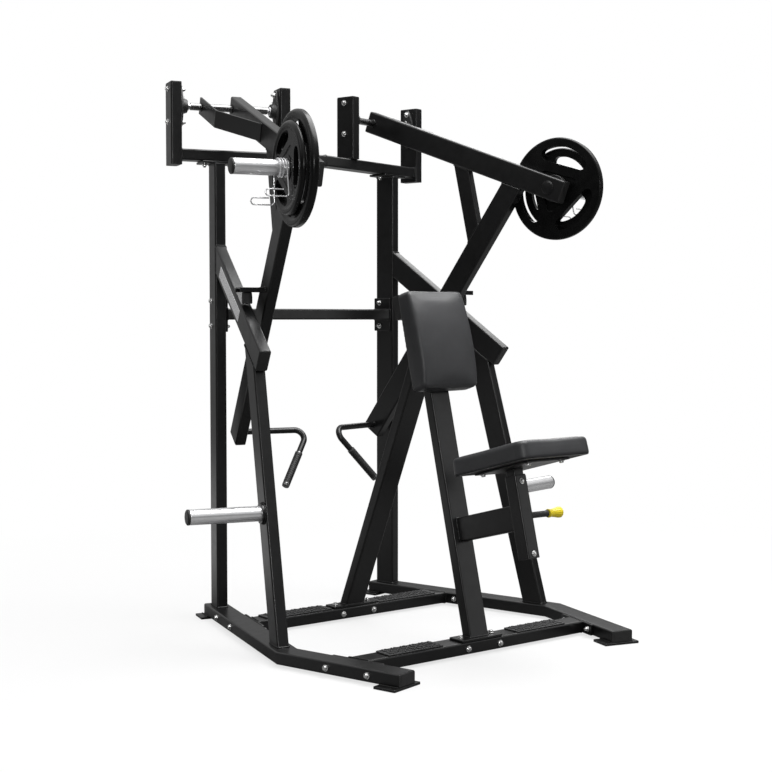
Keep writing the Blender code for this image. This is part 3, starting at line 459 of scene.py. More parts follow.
def sweep_bm(path, radius, sides=12, closed=False, dome=True):
    """Round bar along a path. radius is a number or a function of (index, point)."""
    bm = bmesh.new()
    last = len(path) - 1
    thickness = radius if callable(radius) else (lambda index, point: radius)
    tangents = []
    for i in range(last + 1):
        after = path[(i + 1) % (last + 1)] if closed or i < last else path[i]
        before = path[i - 1] if closed or i > 0 else path[i]
        tangents.append((after - before).normalized())
    across = tangents[0].orthogonal().normalized()
    rings = []

    def ring(size, shift=0.0):
        beside = tangent.cross(across).normalized()
        spots = circle(point + tangent * shift, across, beside, size, sides)
        rings.append([bm.verts.new(spot) for spot in spots])

    for i, (point, tangent) in enumerate(zip(path, tangents)):
        across = (across - tangent * across.dot(tangent)).normalized()
        size = thickness(i, point)
        if dome and not closed and i == 0:
            for share, back in DOME:
                ring(size * share, -size * back)
        ring(size)
        if dome and not closed and i == last:
            for share, ahead in reversed(DOME):
                ring(size * share, size * ahead)
    pairs = list(zip(rings, rings[1:]))
    if closed:
        start, end = rings[0], rings[-1]
        shift = min(range(sides), key=lambda k: (start[0].co - end[k].co).length)
        pairs.append((end[shift:] + end[:shift], start))
    for first, second in pairs:
        wall(bm, first, second)
    if not closed:
        bm.faces.new(rings[0])
        bm.faces.new(rings[-1])
    return bm


# ---------------------------------------------------------------- welds and fasteners
class Collector:
    """Gathers small identical-looking details into one piece per body."""

    def __init__(self):
        self.parts = {}

    def add(self, body, bm):
        merge(self.parts.setdefault(body, bmesh.new()), bm)

    def finish(self, label, look, smooth=40.0, weighted=False):
        for body, bm in self.parts.items():
            piece(f"{label}_{body}", bm, look, body, smooth=smooth, weighted=weighted)


welds = Collector()
bolts = Collector()
plugs = Collector()
WELD_PITCH = 0.0024
WELD_RADIUS = 0.0026
WASHER = 0.0022
THREAD_PITCH = 0.0012


def weld_loop(body, corners, radius=WELD_RADIUS, closed=True):
    """Bead of overlapping ripples along a line of points."""
    path = []
    pairs = zip(corners, corners[1:] + corners[:1]) if closed else zip(corners, corners[1:])
    for a, b in pairs:
        steps = max(1, round((b - a).length / (WELD_PITCH / 2)))
        path += [a.lerp(b, step / steps) for step in range(steps)]
    if not closed:
        path.append(corners[-1])

    def size(index, point):
        wander = 1 + 0.18 * noise.noise(point * 90)
        return radius * (1.0 if index % 2 else 0.82) * wander

    welds.add(body, sweep_bm(path, size, sides=8, closed=closed, dome=False))


def weld_section(body, point, along, up, size, normal=None, corner=CORNER):
    outline = rounded_section(*size, corner, 3)
    weld_loop(body, section_points(outline, point, along, up, normal or along))


def bolt(body, point, normal, size=0.0080, washer=0.0105, head=0.0065, stud=0.0):
    """Zinc hex head with a washer; stud adds the thread end of the nut side."""
    base = filleted([(0, 0), (0, washer), (WASHER, washer), (WASHER, 0)], 0.0006, 2)
    bolts.add(body, turned_bm(base, point, normal, segments=24))
    spread = normal.orthogonal().normalized()
    beside = normal.cross(spread)
    layers = ((WASHER, 0.98), (WASHER + 0.0008, 1.0), (WASHER + head * 0.78, 1.0), (WASHER + head, 0.86))
    hexagon = loft([circle(point + normal * lift, spread, beside, size * scale, 6, 0.3)
                    for lift, scale in layers])
    bolts.add(body, bevel_sharp(hexagon, 0.0004, 1, 30))
    top = WASHER + head
    if stud:
        ridges = [(top - 0.001, 0.0)]
        for k in range(int(stud / THREAD_PITCH)):
            ridges += [(top + THREAD_PITCH * k, 0.0050), (top + THREAD_PITCH * (k + 0.5), 0.0043)]
        ridges += [(top + stud, 0.0038), (top + stud, 0)]
        bolts.add(body, turned_bm(ridges, point, normal, segments=18))
    else:
        disc = size * 0.62
        cap = filleted([(top - 0.001, 0), (top - 0.001, disc), (top + 0.0006, disc), (top + 0.0006, 0)],
                       0.0004, 2)
        bolts.add(body, turned_bm(cap, point, normal, segments=24))


def end_plug(body, point, normal, up, size, thick=0.003):
    """Plastic plug in a tube's end: a flat flange with a slightly domed face."""
    plugs.add(body, slab_bm(point + normal * thick / 2, normal, up, (size[0] - 0.001, size[1] - 0.001, thick),
                            corner=CORNER * 0.9, edge=0.0011))
    plugs.add(body, slab_bm(point + normal * (thick + 0.0002), normal, up,
                            (size[0] * 0.72, size[1] * 0.82, 0.0008), corner=0.003, edge=0.0003))


# ---------------------------------------------------------------- base
def rail_bend(side):
    t = (POST_S * math.sin(SPLAY) - RAIL_BEND_Y) / math.cos(SPLAY)
    return half(side, POST_S, t, RAIL_HEIGHT / 2)


def front_run(side):
    return Vector((-side * math.sin(SPLAY), -math.cos(SPLAY), 0))


REAR_RAIL_BOLTS = (-0.1435, 0.0205)
FRONT_RAIL_BOLTS = (0.189, 0.3475)


def make_rail(label, side):
    bend = rail_bend(side)
    run = front_run(side)
    outward, forward = axes(side)
    front_end = bend + run * RAIL_FRONT_LENGTH
    rear_end = half(side, POST_S, RAIL_REAR_T, RAIL_HEIGHT / 2)
    rail = tube_bm([rear_end + forward * PLUG, bend, front_end - run * PLUG], UP, FLAT_TUBE)
    painted(f"floor_rail_{label}", rail, f"base_rail_{label}")
    end_plug("frame", front_end - run * PLUG, run, UP, FLAT_TUBE)
    end_plug("frame", rear_end + forward * PLUG, -forward, UP, FLAT_TUBE)
    width, depth = FOOT_PLATE
    for where, end, direction, past in (("front", front_end, -run, 0.002),
                                        ("rear", rear_end, forward, 0.026)):
        middle = end + direction * (depth / 2 - past)
        middle.z = FOOT_THICK / 2
        foot = slab_bm(middle, UP, direction, (width, depth, FOOT_THICK - SLACK), corner=0.004, edge=0.001)
        painted(f"foot_plate_{where}_{label}", foot)
        across = direction.cross(UP)
        for sense in (-1, 1):
            hole = middle + across * 0.053 * sense - direction * 0.012
            hole.z = FOOT_THICK - 0.0004
            cup = turned_bm([(-0.0030, 0), (-0.0030, 0.0048), (0.0003, 0.0055), (0.0004, 0.0066),
                             (0, 0.0070)],
                            hole, UP, segments=24)
            plugs.add("frame", cup)
            edge = [middle + across * 0.0405 * sense + direction * d for d in (-0.036, 0.036)]
            for corner in edge:
                corner.z = FOOT_THICK + 0.0006
            weld_loop("frame", edge, closed=False)
    face = TUBE[1] / 2
    for t in REAR_RAIL_BOLTS:
        bolt("frame", half(side, POST_S + face, t, RAIL_HEIGHT / 2), outward)
    beside = Vector((side * math.cos(SPLAY), -math.sin(SPLAY), 0))
    for reach in FRONT_RAIL_BOLTS:
        bolt("frame", bend + run * reach + beside * face, beside)


def bar_ends(inset, bend_run):
    """(point, inward normal) on the inner faces of the two rails, at their rear or front runs."""
    ends = []
    for side in (-1, 1):
        if bend_run:
            inner = Vector((-side * math.cos(SPLAY), math.sin(SPLAY), 0))
            start = rail_bend(side)
        else:
            inner = half_dir(side, -1, 0)
            start = half(side, POST_S, 0, 0)
        ends.append((start + inner * inset, inner))
    return ends


def make_bar(name, node, y, z, ends, plate_size, nuts):
    """Crossbar with end plates that are bolted to slanted faces."""
    points = []
    for point, normal in ends:
        start = centre(0, y, z)
        points.append(start + RIGHT * ((point - start).dot(normal) / normal.x))
    inset = RIGHT * FLANGE * 0.9
    bar = tube_bm([points[0] + inset, points[1] - inset], UP, FLAT_TUBE, cuts=(ends[0][1], -ends[1][1]))
    painted(name, bar, node)
    for label, point, (_, normal) in zip(SIDES, points, ends):
        plate = slab_bm(point + normal * FLANGE / 2, normal, UP, (*plate_size, FLANGE - SLACK))
        painted(f"{name}_end_plate_{label}", plate)
        weld_section("frame", point + normal * (FLANGE + 0.0004), RIGHT, UP, FLAT_TUBE, normal=normal)
        along = normal.cross(UP)
        for a, b in nuts:
            bolt("frame", point + normal * FLANGE + along * a + UP * b, normal, **FLANGE_BOLT, stud=0.005)


def make_crossbars():
    inset = TUBE[1] / 2 + GAP
    for where, y, front in (("front", FRONT_BAR_Y, True), ("rear", REAR_BAR_Y, False)):
        make_bar(f"{where}_floor_bar", f"{where}_crossbar", y, RAIL_HEIGHT / 2, bar_ends(inset, front),
                 (0.200, 0.038), ((-0.079, 0), (0.079, 0)))
    post_y = POST_S * math.sin(SPLAY) - POST_T * math.cos(SPLAY)
    make_bar("post_bar", "middle_crossbar", post_y, MIDDLE_BAR_Z, bar_ends(TUBE[0] / 2 + GAP, False),
             (0.076, 0.127), ((0.012, 0.046), (0.012, -0.044)))
    for y, spots in ((FRONT_BAR_Y, (-0.060, 0.077)), (REAR_BAR_Y, (-0.058, 0.078))):
        for x in spots:
            bolt("frame", centre(x, y - TUBE[1] / 2, RAIL_HEIGHT * 0.46), Vector((0, -1, 0)))


TREADS = (("front", FRONT_BAR_Y, (0.160, 0.380)), ("rear", REAR_BAR_Y, (0.105, 0.375)))
TREAD_DEPTH = 0.072
TREAD_BASE = 0.0045
STUD = (0.0060, 0.0165, 0.0034)
STUD_PITCH = (0.0185, 0.0165)
STUD_ROWS = 4
STUD_LEAN = 0.6


def make_treads():
    """Moulded rubber pads: a thin base with rows of raised lozenges."""
    for where, y, (inner, outer) in TREADS:
        for label, side in SIDES.items():
            length = outer - inner
            middle = centre(side * (inner + outer) / 2, y, RAIL_HEIGHT + GAP)
            bm = slab_bm(middle + UP * TREAD_BASE / 2, UP, Vector((0, 1, 0)),
                         (length, TREAD_DEPTH, TREAD_BASE),
                         corner=0.006)
            columns = int((length - 0.016) / STUD_PITCH[0])
            for column in range(columns):
                for row in range(STUD_ROWS):
                    x = (column - (columns - 1) / 2) * STUD_PITCH[0]
                    v = (row - (STUD_ROWS - 1) / 2) * STUD_PITCH[1]
                    lean = STUD_LEAN if (column + row) % 2 else -STUD_LEAN
                    turned = Vector((math.cos(lean), math.sin(lean), 0))
                    stud = slab_bm(middle + Vector((x, v, TREAD_BASE + 0.0013)), UP, turned, STUD,
                                   corner=0.0028,
                                   edge=0.0009)
                    merge(bm, stud)
            piece(f"tread_{where}_{label}", bm, "tread_rubber", "frame", f"{where}_tread_{label}",
                  weighted=False)


# ---------------------------------------------------------------- upright frame
def make_uprights(label, side):
    outward, forward = axes(side)
    beam_top = BEAM_Z + BEAM_SECTION[1] / 2
    foot = half(side, POST_S, POST_T, RAIL_HEIGHT + GAP)
    head = half(side, POST_S, POST_T, BEAM_Z - BEAM_SECTION[1] / 2 - GAP - FLANGE)
    painted(f"post_{label}", tube_bm([foot, head], forward, TUBE), f"back_post_{label}")
    weld_section("frame", foot + UP * WELD_LIFT, UP, forward, TUBE)
    plate = slab_bm(head + UP * FLANGE / 2, UP, forward, (0.130, 0.080, FLANGE - SLACK))
    painted(f"post_top_plate_{label}", plate)
    weld_section("frame", head - UP * 0.0010, UP, forward, TUBE)
    for sense in (-1, 1):
        bolt("frame", head + outward * 0.046 * sense, -UP, **FLANGE_BOLT, stud=0.004)
    for s, low, name in ((OUTER_UPRIGHT_S, OUTER_UPRIGHT_BOTTOM, "outer_upright"),
                         (INNER_UPRIGHT_S, beam_top + GAP, "inner_upright")):
        bottom = half(side, s, POST_T, low)
        top = half(side, s, POST_T, UPRIGHT_TOP - UPRIGHT_CAP)
        painted(f"{name}_tube_{label}", tube_bm([bottom, top], forward, TUBE), f"{name}_{label}")
        end_plug("frame", top, UP, forward, TUBE)
    weld_section("frame", half(side, INNER_UPRIGHT_S, POST_T, beam_top + 0.0014), UP, forward,
                 (TUBE[0], BEAM_SECTION[0]))
    weld_section("frame", half(side, OUTER_UPRIGHT_S - TUBE[0] / 2 - WELD_LIFT, POST_T, BEAM_Z), outward, UP,
                 BEAM_SECTION)
    end_plug("frame", half(side, OUTER_UPRIGHT_S, POST_T, OUTER_UPRIGHT_BOTTOM + 0.003), -UP, forward, TUBE)
    for s, sense in ((OUTER_UPRIGHT_S, 1), (INNER_UPRIGHT_S, -1)):
        for lift in (-BEARING_BOLT, BEARING_BOLT):
            spot = half(side, s + sense * TUBE[0] / 2, POST_T - 0.003, PIVOT_Z + lift)
            bolt("frame", spot, outward * sense)
    for z in (1.139, 1.050):
        bolt("frame", half(side, POST_S + TUBE[0] / 2, POST_T - 0.012, z), outward)


def make_top_beam():
    end_s = OUTER_UPRIGHT_S - TUBE[0] / 2 - GAP
    joint = half(-1, -POST_T * math.tan(SPLAY), POST_T, BEAM_Z)
    points = [half(-1, end_s, POST_T, BEAM_Z), joint, half(1, end_s, POST_T, BEAM_Z)]
    painted("top_beam_tube", tube_bm(points, UP, BEAM_SECTION), "top_beam")
    weld_section("frame", joint, RIGHT, UP, BEAM_SECTION)


def make_diagonal(label, side):
    along = half_dir(side, 0, math.cos(DIAGONAL_SLOPE), -math.sin(DIAGONAL_SLOPE))
    above = half_dir(side, 0, math.sin(DIAGONAL_SLOPE), math.cos(DIAGONAL_SLOPE))
    outward, forward = axes(side)
    post_front = POST_T + TUBE[1] / 2 + GAP
    drop = math.tan(DIAGONAL_SLOPE)
    end_top = half(side, POST_S, DIAGONAL_END_T, DIAGONAL_TOP_Z - drop * (DIAGONAL_END_T - post_front))
    end = end_top - above * TUBE[1] / 2 - along * PLUG
    reach = (end - half(side, POST_S, post_front, 0)).dot(forward) / math.cos(DIAGONAL_SLOPE)
    start = end - along * reach
    painted(f"diagonal_tube_{label}", tube_bm([start, end], above, TUBE, cuts=(forward, None)),
            f"diagonal_beam_{label}")
    end_plug("frame", end, along, above, TUBE)
    weld_section("frame", start + forward * WELD_LIFT, along, above, TUBE, normal=forward)
    leg_along = half_dir(side, 0, -math.sin(LEG_SLOPE), math.cos(LEG_SLOPE))
    middle = half(side, POST_S, *LEG_MID)
    foot = middle - leg_along * ((LEG_MID[1] - RAIL_HEIGHT - GAP) / math.cos(LEG_SLOPE))
    head = meet(middle, leg_along, end - above * (TUBE[1] / 2 + GAP), above)
    painted(f"front_leg_tube_{label}", tube_bm([foot, head], forward, TUBE, cuts=(UP, above)),
            f"front_leg_{label}")
    weld_section("frame", foot + UP * WELD_LIFT, leg_along, forward, TUBE, normal=UP)
    weld_section("frame", head - above * WELD_LIFT, leg_along, forward, TUBE, normal=above)
    if label == "left":
        plate_middle = start + along * 0.212 + outward * (TUBE[0] / 2 + 0.0009)
        plate = slab_bm(plate_middle, outward, above, (0.272, 0.044, 0.0016), corner=0.004, edge=0.0005)
        piece("blank_plate", plate, "brushed_label", "frame")
        for sense in (-1, 1):
            rivet = turned_bm(filleted([(0, 0), (0, 0.0024), (0.0010, 0.0024), (0.0012, 0)], 0.0006, 2),
                              plate_middle + along * 0.129 * sense + outward * 0.0007, outward, segments=16)
            bolts.add("frame", rivet)


# ---------------------------------------------------------------- horns
def horn(name, body, node, root, outward, length, collar):
    """Chrome pipe with a weld collar at its root and a black cap in its tip."""
    thick, wide = collar
    end = length - HORN_CAP
    pipe = filleted([(thick * 0.5, 0), (thick * 0.5, HORN_RADIUS), (end, HORN_RADIUS), (end, 0)], 0.0008, 2)
    piece(name, turned_bm(pipe, root, outward, segments=72), "chrome", body, node)
    ring = filleted([(0, 0), (0, wide), (thick, wide), (thick, HORN_RADIUS), (thick, 0)], 0.0014, 3)
    painted(f"{name}_collar", turned_bm(ring, root, outward, segments=64), body=body)
    face = [(end - 0.004, 0), (end - 0.004, HORN_RADIUS - 0.004), (end + 0.0004, HORN_RADIUS - 0.004),
            (end + 0.0004, HORN_RADIUS + 0.0004), (length - 0.004, HORN_RADIUS + 0.0004),
            (length - 0.0008, HORN_RADIUS - 0.004), (length - 0.0002, HORN_RADIUS * 0.5), (length, 0)]
    piece(f"{name}_cap", turned_bm(filleted(face, 0.0012, 2), root, outward, segments=64), "plug_plastic",
          body)
    spread = outward.orthogonal().normalized()
    weld_loop(body, circle(root + outward * 0.0010, spread, outward.cross(spread), wide + 0.0006, 40))


def make_storage_horn(label, side):
    root_s = POST_S + TUBE[0] / 2 + GAP
    horn(f"storage_horn_pipe_{label}", "frame", f"storage_horn_{label}",
         half(side, root_s, STORAGE_T, STORAGE_Z), half_dir(side, 1, 0), STORAGE_TIP_S - root_s,
         (0.010, 0.034))


# ---------------------------------------------------------------- pivot
def make_bearings(label, side):
    """Two-bolt flange bearings: an oval casting, a turned insert ring and a grease nipple."""
    tall = BEARING_HALF_HEIGHT
    for where, face_s, sense in (("outer", OUTER_UPRIGHT_S - TUBE[0] / 2 - GAP, -1),
                                 ("inner", INNER_UPRIGHT_S + TUBE[0] / 2 + GAP, 1)):
        origin = half(side, face_s, POST_T, PIVOT_Z)
        outward = half_dir(side, sense, 0)
        beside = outward.cross(UP)
        outline = []
        for k in range(BEARING_POINTS):
            angle = math.tau * k / BEARING_POINTS
            z = tall * math.sin(angle)
            width = 0.0275 - 0.0125 * min(1.0, (abs(z) / tall) ** 1.5)
            outline.append((width * math.copysign(abs(math.cos(angle)) ** 0.7, math.cos(angle)), z))
        bm = loft([[origin + outward * lift + beside * a * scale + UP * b * scale for a, b in outline]
                   for lift, scale in ((0.0002, 1.0), (0.0065, 1.0), (0.0085, 0.965), (0.0092, 0.90))])
        boss = filleted([(0.004, 0.010), (0.004, 0.0275), (0.012, 0.0275), (0.026, 0.0235), (0.0262, 0.0165),
                         (0.0245, 0.0160), (0.0245, 0.0102)], 0.0015, 3)
        merge(bm, turned_bm(boss, origin, outward, closed=True))
        piece(f"{where}_bearing_housing_{label}", bm, "black_iron", "frame", f"{where}_bearing_{label}")
        insert = filleted([(0.012, 0.0105), (0.012, 0.0158), (0.0285, 0.0158), (0.0318, 0.0148),
                           (0.0318, 0.0105)], 0.0008, 2)
        piece(f"{where}_bearing_insert_{label}", turned_bm(insert, origin, outward, closed=True), "steel",
              "frame")
        for lift in (-BEARING_BOLT, BEARING_BOLT):
            bolt("frame", origin + outward * 0.0090 + UP * lift, outward, size=0.0082, washer=0.0105,
                 head=0.0055,
                 stud=0.005)
        nipple = filleted([(0, 0), (0, 0.0032), (0.0035, 0.0032), (0.0045, 0.0018), (0.0070, 0.0021),
                           (0.0078, 0)],
                          0.0004, 2)
        slant = (UP + outward * 0.5).normalized()
        bolts.add("frame", turned_bm(nipple, origin + outward * 0.0145 + UP * 0.0262, slant, segments=18))


def make_shaft(label, side):
    body = f"arm_{label}"
    outer_tip = OUTER_UPRIGHT_S - TUBE[0] / 2 - 0.032
    inner_tip = INNER_UPRIGHT_S + TUBE[0] / 2 + 0.032
    start = half(side, inner_tip, POST_T, PIVOT_Z)
    outward = half_dir(side, 1, 0)
    length = outer_tip - inner_tip
    bar = filleted([(0.007, 0), (0.007, 0.0128), (length - 0.007, 0.0128), (length - 0.007, 0)], 0.0008, 2)
    piece(f"arm_shaft_{label}", turned_bm(bar, start, outward), "dark_steel", body, f"pivot_shaft_{label}")
    for where, low, high in (("inner", -0.016, 0.0065), ("outer", length - 0.0065, length + 0.016)):
        journal = filleted([(low, 0), (low, 0.0099), (high, 0.0099), (high, 0)], 0.0005, 2)
        piece(f"{where}_journal_{label}", turned_bm(journal, start, outward), "steel", body)


# ---------------------------------------------------------------- arm
def arm_frame(side):
    pivot = half(side, ARM_S, POST_T, PIVOT_Z)
    along = half_dir(side, 0, math.cos(ARM_SLOPE), -math.sin(ARM_SLOPE))
    above = half_dir(side, 0, math.sin(ARM_SLOPE), math.cos(ARM_SLOPE))
    return pivot, along, above


def make_arm(label, side):
    body = f"arm_{label}"
    pivot, along, above = arm_frame(side)
    outward, forward = axes(side)
    tail = pivot - along * (ARM_TAIL - PLUG)
    nose = pivot + along * (HORN_REACH + ARM_NOSE - PLUG)
    painted(f"main_tube_{label}", tube_bm([tail, nose], above, TUBE), f"arm_tube_{label}", body=body)
    end_plug(body, nose, along, above, TUBE)
    end_plug(body, tail, -along, above, TUBE)
    for sense in (-1, 1):
        spot = pivot + outward * sense * (TUBE[0] / 2 + 0.0008)
        weld_loop(body, circle(spot, along, above, 0.0138, 24), 0.0024)

    offset = outward * (SIDE_BAR_S - ARM_S)
    foot = pivot + along * SIDE_BAR_MEET + outward * (TUBE[0] / 2 + GAP)
    points = [pivot - along * ARM_TAIL + offset, pivot + along * SIDE_BAR_BEND + offset, foot]
    bar = tube_bm(points, above, SIDE_BAR, cuts=(None, -outward), corner=0.0018)
    painted(f"side_bar_{label}", bar, f"arm_side_bar_{label}", body=body)
    for sense in (-1, 1):
        spot = pivot + offset + outward * sense * (SIDE_BAR[0] / 2 + 0.0008)
        weld_loop(body, circle(spot, along, above, 0.0136, 24), 0.0022)
    weld_section(body, foot + outward * 0.0006, (points[2] - points[1]).normalized(), above, SIDE_BAR,
                 normal=-outward, corner=0.002)

    under = pivot - above * (TUBE[1] / 2 + GAP)
    lever_along = half_dir(side, 0, math.cos(LEVER_SLOPE), math.sin(LEVER_SLOPE))
    lever_front = half_dir(side, 0, math.sin(LEVER_SLOPE), -math.cos(LEVER_SLOPE))
    low = half(side, ARM_S, *LEVER_FOOT)
    head = meet(low, lever_along, under, above)
    lever = tube_bm([low + lever_along * PLUG, head], lever_front, TUBE, cuts=(None, above))
    painted(f"lever_tube_{label}", lever, f"lever_{label}", body=body)
    end_plug(body, low + lever_along * PLUG, -lever_along, lever_front, TUBE)
    weld_section(body, head - above * WELD_LIFT, lever_along, lever_front, TUBE, normal=above)

    brace_along = half_dir(side, 0, math.sin(BRACE_SLOPE), -math.cos(BRACE_SLOPE))
    middle = half(side, ARM_S, *BRACE_MID)
    top = meet(middle, brace_along, under, above)
    bottom = meet(middle, brace_along, low - lever_front * (TUBE[1] / 2 + GAP), lever_front)
    brace = tube_bm([top, bottom], forward, BRACE, cuts=(above, lever_front), corner=0.005)
    painted(f"brace_tube_{label}", brace, f"lever_brace_{label}", body=body)
    for end, normal in ((top, above), (bottom, lever_front)):
        weld_section(body, end - normal * WELD_LIFT, brace_along, forward, BRACE, normal=normal)
    make_stop(label, side, body)
    disc = filleted([(0, 0), (0, 0.0215), (0.004, 0.0205), (0.0052, 0)], 0.0012, 3)
    spot = pivot + along * HORN_REACH - outward * TUBE[0] / 2
    painted(f"horn_end_disc_{label}", turned_bm(disc, spot, -outward), body=body)
    weld_loop(body, circle(spot - outward * 0.0010, along, above, 0.0222, 32), 0.0020)


def make_stop(label, side, body):
    """Tab on the lever with a rubber bumper under it."""
    forward = half_dir(side, 0, 1)
    start_s = ARM_S + TUBE[0] / 2
    middle = half(side, (start_s + STOP_END_S) / 2, STOP_T, STOP_Z + 0.008)
    length = STOP_END_S - start_s
    tab = slab_bm(middle + UP * 0.0055, UP, forward, (length, 0.060, 0.005), corner=0.002)
    for sense in (-1, 1):
        merge(tab, slab_bm(middle + forward * sense * 0.0275, forward, UP, (length, 0.0158, 0.005),
                           corner=0.0015))
    painted(f"stop_tab_{label}", tab, body=body)
    weld_loop(body, [half(side, start_s + 0.001, STOP_T + a, STOP_Z + b)
                     for a, b in ((-0.030, 0.0), (-0.030, 0.0162), (0.030, 0.0162), (0.030, 0.0))],
              closed=False)
    head = half(side, POST_S, STOP_T, STOP_Z - GAP)
    touch_t = STOP_T - 0.018 - POST_T - TUBE[1] / 2 - GAP
    length = STOP_Z - GAP - (DIAGONAL_TOP_Z - math.tan(DIAGONAL_SLOPE) * touch_t + 2 * GAP)
    profile = filleted([(-0.004, 0), (-0.004, 0.0135), (0.003, 0.0165), (length * 0.45, 0.0178),
                        (length - 0.002, 0.0176), (length, 0.0150), (length, 0)], 0.0016, 3)
    piece(f"stop_bumper_{label}", turned_bm(profile, head, -UP), "black_rubber", body, f"bumper_{label}")


HANDLE_RADIUS = 0.011
GRIP_SPAN = (0.41, 0.985)
GRIP_RIBS = 15


def make_handle(label, side):
    body = f"arm_{label}"
    outward, forward = axes(side)
    start = half(side, ARM_S - TUBE[0] / 2 - GAP, *HANDLE_START)
    corner = half(side, HANDLE_CORNER_S, *HANDLE_START)
    slope = half(side, *HANDLE_END) - corner
    along = slope.normalized()
    path = rounded_path([start, corner, corner + slope - along * 0.010], 0.032, 14)
    painted(f"handle_tube_{label}", sweep_bm(path, HANDLE_RADIUS, 28, dome=False), f"handle_{label}",
            body=body,
            smooth=50)
    weld_loop(body, circle(start - outward * 0.001, UP, forward, 0.0118, 24), 0.0020)
    grip_start = corner + slope * GRIP_SPAN[0]
    length = slope.length * (GRIP_SPAN[1] - GRIP_SPAN[0])
    bore = HANDLE_RADIUS + GAP
    profile = [(0.0045, bore), (0.0045, 0.0134)]
    pitch = (length - 0.018) / GRIP_RIBS
    for k in range(GRIP_RIBS):
        at = 0.008 + pitch * k
        profile += [(at, 0.0139), (at + pitch * 0.68, 0.0139), (at + pitch * 0.76, 0.0130),
                    (at + pitch * 0.92, 0.0130)]
    profile += [(length - 0.009, 0.0136), (length - 0.0085, bore)]
    piece(f"grip_sleeve_{label}", turned_bm(profile, grip_start, along, closed=True), "grip_foam", body,
          f"grip_{label}", smooth=30)
    for name, at, long in (("upper", 0.0, 0.0048), ("lower", length - 0.0125, 0.0055)):
        ring = filleted([(at, bore), (at, 0.0141), (at + long, 0.0141), (at + long, bore)], 0.0010, 3)
        piece(f"grip_{name}_ring_{label}", turned_bm(ring, grip_start, along, closed=True), "dark_steel",
              body)
    cap = filleted([(length - 0.0065, 0), (length - 0.0065, 0.0137), (length - 0.001, 0.0130),
                    (length + 0.0005, 0.0075), (length + 0.0005, 0)], 0.0012, 3)
    piece(f"grip_end_cap_{label}", turned_bm(cap, grip_start, along), "dark_steel", body)


# ---------------------------------------------------------------- weight plates and clip
LARGE_PLATE = dict(radius=0.181, thick=0.0272, rim=0.157, hub=0.046, window=(0.086, 0.149, 0.020), turn=-17,
                   hollow=(0.050, 0.018, 0.0075, 0.0040))
SMALL_PLATE = dict(radius=0.1457, thick=0.0197, rim=0.124, hub=0.041, window=(0.068, 0.1155, 0.018), turn=-26,
                   hollow=(0.046, 0.014, 0.0055, 0.0030))
PLATE_BORE = 0.0256
PLATE_SEGMENTS = 120


def window_outline(plate, turn):
    """D-shaped hand hole as (across, up) points: an arc, a chord and two fillets."""
    chord, arc, fillet = plate["window"]
    height = chord + fillet
    corner = math.sqrt((arc - fillet) ** 2 - height ** 2)
    lean = math.atan2(corner, height)
    outline = []
    for step in range(1, 20):
        angle = lean * (2 * step / 20 - 1)
        outline.append((arc * math.sin(angle), arc * math.cos(angle)))
    steps = list(range(9))
    for sense in (1, -1):
        for step in steps if sense > 0 else reversed(steps):
            angle = lean + (math.pi - lean) * step / steps[-1]
            outline.append((sense * (corner + fillet * math.sin(angle)), height + fillet * math.cos(angle)))
    return [turned_point(point, turn) for point in outline]


def turned_point(point, turn):
    a, b = point
    return a * math.cos(turn) + b * math.sin(turn), b * math.cos(turn) - a * math.sin(turn)


def triangle_outline(inner, fillet, turn):
    """Rounded triangle whose sides lie at the distance inner, facing the three hand holes."""
    outline = []
    for third in range(3):
        middle = turned_point((0, -2 * (inner - fillet)), turn + math.tau * third / 3)
        facing = math.pi + turn + math.tau * third / 3
        for step in range(9):
            angle = facing + math.radians(60) * (step / 4 - 1)
            outline.append((middle[0] + fillet * math.sin(angle), middle[1] + fillet * math.cos(angle)))
    return outline


def prism_bm(outline, origin, across, outward, start, end):
    return loft([[origin + outward * lift + across * a + UP * b for a, b in outline]
                 for lift in (start, end)])


def cut_away(bm, cutter):
    """Take one closed bmesh out of another."""
    objects = []
    for name, shape in (("blank", bm), ("cutter", cutter)):
        obj = bpy.data.objects.new(name, mesh_of(name, shape))
        bpy.context.scene.collection.objects.link(obj)
        objects.append(obj)
    modifier = objects[0].modifiers.new("cut", "BOOLEAN")
    modifier.operation = "DIFFERENCE"
    modifier.solver = "EXACT"
    modifier.object = objects[1]
    bpy.context.view_layer.update()
    graph = bpy.context.evaluated_depsgraph_get()
    result = bmesh.new()
    result.from_mesh(objects[0].evaluated_get(graph).to_mesh())
    for obj in objects:
        bpy.data.objects.remove(obj)
    bmesh.ops.dissolve_limit(result, angle_limit=math.radians(0.4), verts=result.verts, edges=result.edges)
    return result


